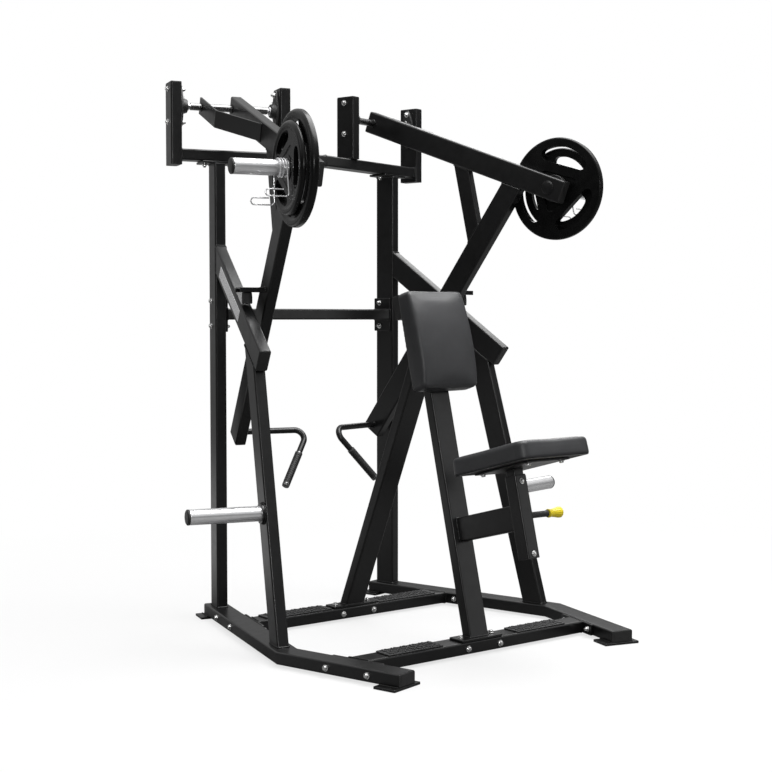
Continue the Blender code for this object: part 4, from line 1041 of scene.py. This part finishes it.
def plate_piece(name, body, plate, root, outward):
    """Rubber-covered disc: flat back, rolled front rim, three hand holes and a hollow round the hub."""
    thick, rim, hub, radius = (plate[key] for key in ("thick", "rim", "hub", "radius"))
    inner, fillet, back_depth, front_depth = plate["hollow"]
    bore = PLATE_BORE + 0.0016
    web = thick - 0.0030
    roll = 0.0125
    outline = [(0.0, bore), (0.0, radius - 0.0045), (0.0045, radius)]
    for step in range(9):
        angle = math.radians(90) * step / 8
        outline.append((thick - roll + roll * math.sin(angle), radius - roll + roll * math.cos(angle)))
    outline += [(thick, rim + 0.004), (web, rim - 0.006), (web, bore)]
    disc = turned_bm(filleted(outline, 0.0018, 3), root, outward, closed=True, segments=PLATE_SEGMENTS)
    bmesh.ops.dissolve_limit(disc, angle_limit=math.radians(0.4), verts=disc.verts, edges=disc.edges)
    across = UP.cross(outward).normalized()
    turn = math.radians(plate["turn"])
    cutter = bmesh.new()
    for third in range(3):
        merge(cutter, prism_bm(window_outline(plate, turn + math.tau * third / 3), root, across, outward,
                               -0.01, thick + 0.01))
    disc = cut_away(disc, cutter)
    chord, arc, _ = plate["window"]
    bevel_near(disc, root, outward, chord - 0.002, arc + 0.002, 0.0038)
    for start, end in ((-0.01, back_depth), (web - front_depth, thick + 0.01)):
        hollow = prism_bm(triangle_outline(inner, fillet, turn), root, across, outward, start, end)
        disc = cut_away(disc, hollow)
    bevel_near(disc, root, outward, bore + 0.004, 2 * inner - fillet + 0.002, 0.0020)
    piece(name, disc, "plate_rubber", body, body)
    for label, near, far in (("back", -0.0001, back_depth + 0.001),
                             ("front", web - front_depth - 0.001, web)):
        boss = filleted([(near, bore - 0.0006), (near, hub), (far, hub), (far, bore - 0.0006)], 0.0022, 4)
        piece(f"{name}_{label}_hub", turned_bm(boss, root, outward, closed=True, segments=72), "plate_rubber",
              body)
    ring = filleted([(-0.0002, PLATE_BORE), (-0.0002, bore + 0.0022), (web + 0.0004, bore + 0.0022),
                     (web + 0.0004, PLATE_BORE)], 0.0008, 2)
    piece(f"{name}_bore_ring", turned_bm(ring, root, outward, closed=True, segments=72), "steel", body)


def bevel_near(bm, root, outward, low, high, width):
    """Round the sharp edges whose distance from the disc's axis lies between low and high."""
    bm.normal_update()
    edges = []
    for edge in bm.edges:
        if len(edge.link_faces) != 2 or edge.calc_face_angle() < math.radians(55):
            continue
        spot = (edge.verts[0].co + edge.verts[1].co) / 2 - root
        spot -= outward * spot.dot(outward)
        if low < spot.length < high:
            edges.append(edge)
    bmesh.ops.bevel(bm, geom=edges, offset=width, segments=4, profile=0.5, affect="EDGES", clamp_overlap=True)


COIL_RADIUS = 0.0285
COIL_TURNS = 2.5
COIL_PITCH = 0.0095
WIRE_RADIUS = 0.0023
CLIP_DROP = (0.090, 0.112)
CLIP_REACH = 0.075
CLIP_LOOP = 0.021


def make_clip(label, side, root, start_s):
    outward = half_dir(side, 1, 0)
    forward = half_dir(side, 0, 1)
    root_s = ARM_S + TUBE[0] / 2 + GAP

    def at(s, ahead, height):
        return root + outward * (s - root_s) + forward * ahead + UP * height

    first_s = start_s + WIRE_RADIUS + 0.0012
    steps = int(COIL_TURNS * 40)
    coil = []
    for step in range(steps + 1):
        angle = math.tau * COIL_TURNS * step / steps
        coil.append(at(first_s + COIL_PITCH * COIL_TURNS * step / steps,
                       COIL_RADIUS * math.cos(angle), COIL_RADIUS * math.sin(angle)))
    last_s = first_s + COIL_PITCH * COIL_TURNS
    loops = []
    for s, ahead, lean, drop in ((first_s, COIL_RADIUS, 0.018, CLIP_DROP[0]),
                                 (last_s, -COIL_RADIUS, 0.004, CLIP_DROP[1])):
        corners = [at(s, ahead, 0.0), at(s, ahead + lean, -drop), at(s + CLIP_REACH, ahead + lean, -drop),
                   at(s + CLIP_REACH, ahead + lean, CLIP_LOOP - drop),
                   at(s + 0.018, ahead + lean, CLIP_LOOP - drop)]
        loops.append(rounded_path(corners, 0.0095, 9))
    path = loops[0][::-1] + coil[1:-1] + loops[1]
    piece(f"clip_wire_{label}", sweep_bm(path, WIRE_RADIUS, 14), "chrome", f"clip_{label}",
          f"spring_clip_{label}", smooth=60)


def make_horn_set(label, side):
    pivot, along, _ = arm_frame(side)
    outward = half_dir(side, 1, 0)
    root_s = ARM_S + TUBE[0] / 2 + GAP
    root = pivot + along * HORN_REACH + outward * (root_s - ARM_S)
    horn(f"weight_horn_pipe_{label}", f"arm_{label}", f"weight_horn_{label}", root, outward,
         HORN_TIP_S - root_s, WEIGHT_COLLAR)
    reach = WEIGHT_COLLAR[0] + GAP
    for name, plate in (("large", LARGE_PLATE), ("small", SMALL_PLATE)):
        plate_piece(f"{name}_disc_{label}", f"{name}_plate_{label}", plate, root + outward * reach, outward)
        reach += plate["thick"] + GAP
    make_clip(label, side, root, root_s + reach - GAP)


# ---------------------------------------------------------------- pad frame
def make_pad_frame():
    foot = along_front_leg(RAIL_HEIGHT + GAP)
    head_middle = along_front_leg(HEAD_BAR_Z)
    back = Vector((0, 1, 0))
    lift = FRONT_UP * (FLANGE / FRONT_UP.z)
    leg = tube_bm([foot + lift * 0.9, head_middle - FRONT_UP * (TUBE[1] / 2)], FRONT_OUT, FLAT_TUBE,
                  cuts=(UP, None))
    painted("pad_front_leg", leg, "pad_leg_front")
    painted("pad_front_foot_plate", slab_bm(foot + UP * FLANGE / 2, UP, back, (0.172, 0.068, FLANGE - SLACK)))
    weld_section("frame", foot + lift * 1.1, FRONT_UP, FRONT_OUT, FLAT_TUBE, normal=UP)
    reach = RIGHT * (HEAD_BAR_LENGTH / 2 - PLUG)
    painted("pad_head_bar", tube_bm([head_middle - reach, head_middle + reach], FRONT_UP, TUBE))
    end_plug("frame", head_middle + reach, RIGHT, FRONT_UP, TUBE)
    end_plug("frame", head_middle - reach, -RIGHT, FRONT_UP, TUBE)
    weld_section("frame", head_middle - FRONT_UP * (TUBE[1] / 2 + WELD_LIFT), FRONT_UP, FRONT_OUT, FLAT_TUBE)
    for x in (-0.066, 0.066):
        bolt("frame", foot + RIGHT * x + UP * FLANGE, UP, **FLANGE_BOLT)
        bolt("frame", head_middle + RIGHT * x - FRONT_OUT * FLAT_TUBE[1] / 2, -FRONT_OUT, size=0.008,
             washer=0.011)

    rear_up = Vector((0, -math.sin(REAR_LEAN), math.cos(REAR_LEAN)))
    at = centre(0, *REAR_LEG_AT)
    foot = at - rear_up * ((REAR_LEG_AT[1] - RAIL_HEIGHT - GAP) / math.cos(REAR_LEAN))
    head = meet(at, rear_up, head_middle - FRONT_OUT * (FLAT_TUBE[1] / 2 + GAP), FRONT_OUT)
    lift = rear_up * (FLANGE / rear_up.z)
    painted("pad_rear_leg", tube_bm([foot + lift * 0.9, head], back, FLAT_TUBE, cuts=(UP, FRONT_OUT)),
            "pad_leg_rear")
    painted("pad_rear_foot_plate", slab_bm(foot + UP * FLANGE / 2, UP, back, (0.190, 0.058, FLANGE - SLACK)))
    weld_section("frame", foot + lift * 1.1, rear_up, back, FLAT_TUBE, normal=UP)
    weld_section("frame", head - FRONT_OUT * WELD_LIFT, rear_up, back, FLAT_TUBE, normal=FRONT_OUT)
    for x in (-0.072, 0.072):
        bolt("frame", foot + RIGHT * x + UP * FLANGE, UP, **FLANGE_BOLT)


# ---------------------------------------------------------------- cushions
SHRINK = 0.0015
HEM = 0.002
HELD = 0.010
CUSHION_EDGE = 0.011
EDGE_STEPS = 8
SWELL_CAP = 0.005
SWELL_VOXEL = 0.0045
SWELL_STEPS = 20
STAPLE_STEP = 4


def divided(outline, parts):
    """Split the four long sides of a rounded section into equal parts."""
    longest = len(outline) // 4
    points = []
    for index, (start, end) in enumerate(closed_pairs(outline)):
        points += between(start, end, parts if index % longest == longest - 1 else 1)
    return points


def between(start, end, parts):
    (x0, v0), (x1, v1) = start, end
    return [(x0 + (x1 - x0) * k / parts, v0 + (v1 - v0) * k / parts) for k in range(parts)]


def cushion_bm(place, width, length, thickness, corner):
    """Closed cushion: straight sides, a rolled edge and a face that follows thickness(v)."""
    rings = []

    def ring(inset, lift):
        outline = rounded_section(width - 2 * inset, length - 2 * inset, max(corner - inset, 0.002), 6)
        rings.append([place(x, v, lift(v)) for x, v in divided(outline, 10)])

    steps = range(EDGE_STEPS + 1)
    for part in (step / EDGE_STEPS for step in steps):
        ring(0.0, lambda v, part=part: (thickness(v) - CUSHION_EDGE) * part)
    for angle in (math.radians(90) * step / EDGE_STEPS for step in steps[1:]):
        ring(CUSHION_EDGE * (1 - math.cos(angle)),
             lambda v, angle=angle: thickness(v) - CUSHION_EDGE * (1 - math.sin(angle)))
    inset = CUSHION_EDGE
    limit = min(width, length) / 2 - 0.0006
    while inset < limit:
        inset = min(inset + 0.010, limit)
        ring(inset, thickness)
    return loft(rings)


def modify(obj, kind, **settings):
    modifier = obj.modifiers.new(kind.lower(), kind)
    for name, value in settings.items():
        setattr(modifier, name, value)


def swell(mesh, hold):
    """Inflate a closed mesh a little with cloth pressure; points that hold() picks stay where they are."""
    obj = bpy.data.objects.new("swelling", mesh)
    bpy.context.scene.collection.objects.link(obj)
    modify(obj, "REMESH", mode="VOXEL", voxel_size=SWELL_VOXEL)
    bake(obj)
    rest = [v.co.copy() for v in obj.data.vertices]
    group = obj.vertex_groups.new(name="held")
    group.add([i for i, co in enumerate(rest) if hold(co)], 1.0, "REPLACE")
    settings = obj.modifiers.new("cloth", "CLOTH").settings
    settings.use_pressure = True
    settings.uniform_pressure_force = 4.0
    settings.effector_weights.gravity = 0.0
    settings.vertex_group_mass = "held"
    settings.tension_stiffness = 40.0
    settings.compression_stiffness = 40.0
    settings.bending_stiffness = 8.0
    for step in range(1, SWELL_STEPS + 1):
        bpy.context.scene.frame_set(step)
    bake(obj)
    bpy.context.scene.frame_set(1)
    moves = []
    for vertex, start in zip(obj.data.vertices, rest):
        move = vertex.co - start
        moves.append(move * min(1.0, SWELL_CAP / max(move.length, 1e-9)))
    for vertex, start, move in zip(obj.data.vertices, rest, evened(moves, obj.data.edges, 40)):
        vertex.co = start + move
    modify(obj, "SMOOTH", factor=0.5, iterations=3)
    modify(obj, "SUBSURF", levels=1)
    bake(obj)
    result = obj.data
    bpy.data.objects.remove(obj)
    return result


def evened(moves, edges, rounds):
    """Average each point's movement with its neighbours', so that the swelling is free of ripples."""
    links = [tuple(edge.vertices) for edge in edges]
    counts = [1] * len(moves)
    for a, b in links:
        counts[a] += 1
        counts[b] += 1
    for _ in range(rounds):
        sums = [move.copy() for move in moves]
        for a, b in links:
            sums[a] += moves[b]
            sums[b] += moves[a]
        moves = [total / count for total, count in zip(sums, counts)]
    return moves


def bake(obj):
    """Replace an object's mesh by its evaluated one, without modifiers."""
    bpy.context.view_layer.update()
    graph = bpy.context.evaluated_depsgraph_get()
    mesh = bpy.data.meshes.new_from_object(obj.evaluated_get(graph))
    obj.modifiers.clear()
    obj.data = mesh


def add_hem(name, place, width, length, corner, body):
    """Cover turned over the edge of the backing: a flat hem with a wavy raw edge and a row of staples."""
    outline = []
    for start, end in closed_pairs(rounded_section(width, length, corner, 6)):
        outline += between(start, end, max(1, round(math.dist(start, end) / 0.006)))
    rings = []
    for inset, drop in ((0.0, 0.0), (0.001, -0.0011), (0.016, -0.0013), (0.0175, -0.0002)):
        ring = []
        for x, v in outline:
            ragged = 0.002 * noise.noise(Vector((x, v, inset)) * 70) if inset > 0.01 else 0.0
            shrink = 2 * (inset + ragged)
            ring.append(place(x * (1 - shrink / width), v * (1 - shrink / length), drop))
        rings.append(ring)
    piece(f"{name}_hem", loft(rings, closed=True), "vinyl", body, smooth=60, weighted=False)
    staples = bmesh.new()
    for (x, v), ahead in list(closed_pairs(outline))[::STAPLE_STEP]:
        along = Vector((ahead[0] - x, ahead[1] - v, 0)).normalized()
        x, v = x * (1 - 0.020 / width), v * (1 - 0.020 / length)
        ends = [place(x + along.x * d, v + along.y * d, -0.0015) for d in (-0.0045, 0.0045)]
        merge(staples, sweep_bm(ends, 0.00045, 6))
    piece(f"{name}_staples", staples, "zinc", body, smooth=60, weighted=False)


def closed_pairs(points):
    return zip(points, points[1:] + points[:1])


def upholster(name, body, place, axes, size, thickness, corners, board, hold):
    """Cushion with its hem and backing board. corners are the radii of cushion, hem and board."""
    out, up = axes
    width, length = size
    shape = cushion_bm(place, width - 2 * SHRINK, length - 2 * SHRINK, thickness, corners[0])
    obj = mesh_piece(f"{name}_cushion", swell(mesh_of(f"{name}_cushion", shape), hold), "vinyl", body,
                     f"{name}_pad",
                     smooth=80, weighted=False)
    add_hem(f"{name}_pad", place, width - 0.008, length - 0.008, corners[1], body)
    margin, board_name = board
    plate = slab_bm(place(0, 0, -0.0003), out, up, (width - margin, length - margin, 0.0012),
                    corner=corners[2],
                    edge=0.0003)
    piece(board_name, plate, "board", body)


def make_chest_pad():
    back = along_front_leg(PAD_BOTTOM_Z) + FRONT_OUT * (FLAT_TUBE[1] / 2 + 2 * GAP)
    bottom, top = PAD_THICK

    def place(x, v, lift):
        return back + RIGHT * x + FRONT_UP * (v + PAD_LENGTH / 2) + FRONT_OUT * (lift + HEM)

    def thickness(v):
        part = min(max(v / PAD_LENGTH + 0.5, 0.0), 1.0)
        return bottom + (top - bottom) * part + PAD_CROWN * 4 * part * (1 - part) - HEM - SHRINK

    upholster("chest", "frame", place, (FRONT_OUT, FRONT_UP), (PAD_WIDTH, PAD_LENGTH), thickness,
              (0.016, 0.012, 0.004), (0.040, "chest_pad_board"), lambda co: (co - back).dot(FRONT_OUT) < HELD)


def make_seat():
    base = centre(0, *SEAT_REAR_TOP) + FRONT_OUT * SEAT_LENGTH / 2 - FRONT_UP * (SEAT_THICK - HEM)

    def place(x, v, lift):
        return base + RIGHT * x + FRONT_OUT * v + FRONT_UP * lift

    upholster("seat", "seat", place, (FRONT_UP, FRONT_OUT), (SEAT_WIDTH, SEAT_LENGTH),
              lambda v: SEAT_THICK - HEM - SHRINK, (0.031, 0.027, 0.006), (0.042, "seat_board"),
              lambda co: (co - base).dot(FRONT_UP) < HELD)
    width, length, thick = SEAT_PLATE
    under = place(0, 0, -HEM - thick / 2 - GAP)
    painted("seat_carrier", slab_bm(under, FRONT_UP, FRONT_OUT, (width, length, thick - SLACK)), "seat_plate",
            body="seat")
    bottom = under - FRONT_UP * thick / 2
    for x in (-0.070, 0.070):
        for v in (-0.105, 0.105):
            bolt("seat", bottom + RIGHT * x + FRONT_OUT * v, -FRONT_UP, size=0.0075, washer=0.0105,
                 head=0.005)
    return bottom


def square_loft(layers):
    """Closed shell over rounded squares: (side, corner, point) for each ring."""
    return loft([section_points(rounded_section(width, width, corner, 4), point, FRONT_UP, FRONT_OUT,
                                FRONT_UP)
                 for width, corner, point in layers], closed=True)


def make_seat_column(plate_bottom):
    low, high = (along_front_leg(z, SLEEVE_AT) for z in SLEEVE_Z)
    pin = along_front_leg(PIN_Z, SLEEVE_AT)
    inner = (SLEEVE - 2 * SLEEVE_WALL, 0.002)
    outer = (SLEEVE, CORNER)
    bite = (SLEEVE - 0.0016, CORNER)
    shell = square_loft([(*inner, low), (*bite, low), (*outer, low + FRONT_UP * 0.0008),
                         (*outer, high - FRONT_UP * 0.0008), (*bite, high), (*inner, high)])
    painted("seat_sleeve_tube", shell, "seat_sleeve")
    middle = centre(0, *BRACKET_AT)
    leg_face = along_front_leg(BRACKET_AT[1]) + FRONT_OUT * (FLAT_TUBE[1] / 2 + GAP)
    sleeve_face = along_front_leg(BRACKET_AT[1], SLEEVE_AT) - FRONT_OUT * (SLEEVE / 2)
    start, end = (middle + FRONT_OUT * (face - middle).dot(FRONT_OUT) for face in (leg_face, sleeve_face))
    painted("seat_bracket_tube", tube_bm([start, end], FRONT_UP, TUBE))
    for spot in (start + FRONT_OUT * WELD_LIFT, end - FRONT_OUT * WELD_LIFT):
        weld_section("frame", spot, FRONT_OUT, FRONT_UP, TUBE)

    lip = (SLEEVE - 0.002, CORNER)
    hole = (SEAT_TUBE + 0.0008, 0.0050)
    liner = square_loft([(*section, high + FRONT_UP * lift) for section, lift in (
        (hole, -0.004), (hole, 0.0035), (lip, 0.0035), (lip, 0.0002), (inner, -0.0002), (inner, -0.004))])
    piece("sleeve_liner", liner, "plug_plastic", "frame")
    cup = turned_bm([(-0.0030, 0), (-0.0030, 0.0042), (0.0003, 0.0048), (0.0005, 0.0062), (0, 0.0066)],
                    pin - RIGHT * SLEEVE / 2, -RIGHT, segments=24)
    plugs.add("frame", cup)
    for z in (0.565, 0.345):
        bolt("frame", along_front_leg(z, SLEEVE_AT) + FRONT_OUT * SLEEVE / 2, FRONT_OUT, size=0.0070,
             washer=0.0095, head=0.005)

    square = (SEAT_TUBE, SEAT_TUBE)
    length = (plate_bottom - low).dot(FRONT_UP) - GAP
    post = tube_bm([low, low + FRONT_UP * length], FRONT_OUT, square, corner=0.005)
    painted("seat_post_tube", post, "seat_post", body="seat")
    weld_section("seat", low + FRONT_UP * (length - 0.001), FRONT_UP, FRONT_OUT, square)
    return pin


KNOB = (0.111, 0.166)
KNOB_POINTS = 96
KNOB_FLUTES = 16


def make_pop_pin(pin):
    root = SLEEVE / 2 + GAP
    back = Vector((0, 1, 0))
    barrel = filleted([(root, 0.0058), (root, 0.0115), (0.034, 0.0115), (0.0345, 0.0100), (0.104, 0.0100),
                       (0.1045, 0.0110), (0.108, 0.0110), (0.108, 0.0058)], 0.0006, 2)
    piece("pin_barrel", turned_bm(barrel, pin, RIGHT, closed=True), "black_iron", "frame", "pop_pin_barrel")
    layers = ((0.0, 0.0175), (0.0010, 0.0185), (0.0075, 0.0185), (0.0085, 0.0172))
    nut = loft([circle(pin + RIGHT * (root + at), back, UP, size, 6) for at, size in layers])
    piece("pin_lock_nut", nut, "black_iron", "frame", smooth=20, weighted=False)
    rod = filleted([(0.0203, 0), (0.0203, 0.0040), (0.0215, 0.0049), (0.138, 0.0049), (0.138, 0)], 0.0004, 2)
    piece("pin_plunger_rod", turned_bm(rod, pin, RIGHT), "steel", "pull_pin", "pop_pin_plunger")
    start, end = KNOB
    profile = filleted([(start, 0.0053), (start, 0.0140), (start + 0.006, 0.0140), (start + 0.012, 0.0122),
                        (start + 0.024, 0.0138), (end - 0.012, 0.0176), (end - 0.002, 0.0176), (end, 0.0150),
                        (end + 0.0008, 0)], 0.0030, 4)
    rings = []
    for along, radius in profile[:-1]:
        depth = 0.0008 if start + 0.016 < along < end - 0.003 else 0.0
        ring = []
        for angle in (math.tau * k / KNOB_POINTS for k in range(KNOB_POINTS)):
            reach = radius - depth * (0.5 + 0.5 * math.cos(angle * KNOB_FLUTES))
            ring.append(pin + RIGHT * along + (UP * math.sin(angle) + back * math.cos(angle)) * reach)
        rings.append(ring)
    piece("pin_pull_knob", loft(rings), "yellow_plastic", "pull_pin", "pop_pin_knob", smooth=50,
          weighted=False)


# ---------------------------------------------------------------- stage
LIGHTS = (("left", (-3.2, 0.6, 3.4), 1.6, 8.0), ("top", (0.8, -0.7, 4.4), 3.2, 270.0),
          ("right", (3.0, 2.2, 2.6), 1.6, 24.0), ("side", (3.2, -4.0, 1.5), 2.4, 16.0),
          ("front", (-3.0, -4.4, 2.1), 0.8, 50.0))
LIGHTS_AIM = Vector((0, 0, 0.9))


def mixed_in(tree, fac, first, second, output):
    """Mix two shaders into an output node."""
    mix = add_node(tree, "MixShader", {"Fac": fac, 1: first, 2: second})
    tree.links.new(mix.outputs["Shader"], tree.nodes[output].inputs["Surface"])


def studio_world():
    """White behind the object; the light it gives is bright overhead and dim at the horizon."""
    world = bpy.data.worlds.new("surround")
    world.use_nodes = True
    tree = world.node_tree
    backdrop = tree.nodes["Background"]
    backdrop.inputs["Color"].default_value = (1, 1, 1, 1)
    toward = add_node(tree, "TexCoord", {}).outputs["Generated"]
    toward = add_node(tree, "SeparateXYZ", {"Vector": toward}).outputs
    height = map_range(tree, toward["Z"], (-1.0, 1.0))
    sky = colour_ramp(tree, height, (0.57, (0.045,) * 3), (0.92, (1, 1, 1)))
    light = add_node(tree, "Background", {"Color": sky, "Strength": 1.0})
    behind = map_range(tree, toward["Y"], (0.70, 1.0), (0.0, 0.40))
    panel = add_node(tree, "Background", {"Strength": behind})
    both = add_node(tree, "AddShader", {0: light.outputs["Background"], 1: panel.outputs["Background"]})
    seen = add_node(tree, "LightPath", {}).outputs["Is Camera Ray"]
    mixed_in(tree, seen, both.outputs["Shader"], backdrop.outputs["Background"], "World Output")
    return world


def floor_material():
    """Pale to the camera and dark in bounces, with a glow that fades it into the white surround; the dark
    bounce floor and its glowing band behind the machine are painted shade and painted light.
    """
    mat = bpy.data.materials.new("floor")
    mat.use_nodes = True
    tree = mat.node_tree
    seen = add_node(tree, "LightPath", {}).outputs["Is Camera Ray"]
    spot = add_node(tree, "TexCoord", {}).outputs["Object"]
    shader = tree.nodes["Principled BSDF"]
    # camera rays see a pale floor, bounces a dark one (0.14): painted shade that surfaces near the floor
    # reflect
    feed(tree, shader, {"Roughness": 0.9, "Base Color": map_range(tree, seen, target=(0.14, 0.62))})
    glow = add_node(tree, "Emission", {"Strength": map_range(tree, seen, target=(0.75, 1.0))})
    far = add_node(tree, "VectorMath", {0: spot}, operation="LENGTH").outputs["Value"]
    share = map_range(tree, far, (0.6, 3.0), (0.72, 1.0))
    ahead = add_node(tree, "SeparateXYZ", {"Vector": spot}).outputs["Y"]
    # in bounces the floor glows brightest about 2 to 4 m behind the machine, faintly farther off and not at
    # all near it or in front: painted light and painted shade that other surfaces reflect
    bounce = colour_ramp(tree, map_range(tree, ahead, (0.0, 8.0)), (0.12, (0, 0, 0)), (0.24, (1, 1, 1)),
                         (0.5, (1, 1, 1)), (0.8, (0.12,) * 3))
    part = add_node(tree, "Mix", {"Factor": seen, "A": bounce, "B": share}).outputs["Result"]
    mixed_in(tree, part, shader.outputs["BSDF"], glow.outputs["Emission"], "Material Output")
    return mat


def make_stage():
    """Pale floor that fades to the white surround, soft lights and the camera."""
    scene = bpy.context.scene
    bm = bmesh.new()
    bmesh.ops.create_circle(bm, cap_ends=True, segments=64, radius=40.0)
    bmesh.ops.translate(bm, verts=bm.verts, vec=(0, 0, -0.0005))
    mesh = bpy.data.meshes.new("floor")
    bm.to_mesh(mesh)
    bm.free()
    mesh.materials.append(floor_material())
    floor = bpy.data.objects.new("floor", mesh)
    scene.collection.objects.link(floor)

    scene.world = studio_world()
    scene.view_settings.view_transform = "Standard"
    for name, place, size, power in LIGHTS:
        data = bpy.data.lights.new(name, "AREA")
        data.shape = "SQUARE"
        data.size = size
        data.energy = power
        lamp = bpy.data.objects.new(name, data)
        lamp.location = place
        lamp.rotation_euler = (LIGHTS_AIM - Vector(place)).to_track_quat("-Z", "Y").to_euler()
        scene.collection.objects.link(lamp)

    camera_data = bpy.data.cameras.new("camera")
    camera_data.lens = 66.36
    camera_data.sensor_width = 36.0
    camera = bpy.data.objects.new("camera", camera_data)
    camera.location = (-3.044, -4.032 + ORIGIN_Y, 1.0768 + FOOT_THICK)
    camera.rotation_euler = (math.radians(87.28), 0, math.radians(-37.913))
    scene.collection.objects.link(camera)
    scene.camera = camera


def main():
    make_stage()
    for label, side in SIDES.items():
        for make in (make_rail, make_uprights, make_diagonal, make_storage_horn, make_bearings, make_shaft,
                     make_arm, make_handle, make_horn_set):
            make(label, side)
    make_top_beam()
    make_crossbars()
    make_treads()
    make_pad_frame()
    make_chest_pad()
    bottom = make_seat()
    pin = make_seat_column(bottom)
    make_pop_pin(pin)
    welds.finish("weld_beads", "black_powder_coat", smooth=80)
    bolts.finish("fasteners", "zinc", smooth=35)
    plugs.finish("tube_plugs", "plug_plastic", smooth=35)


main()
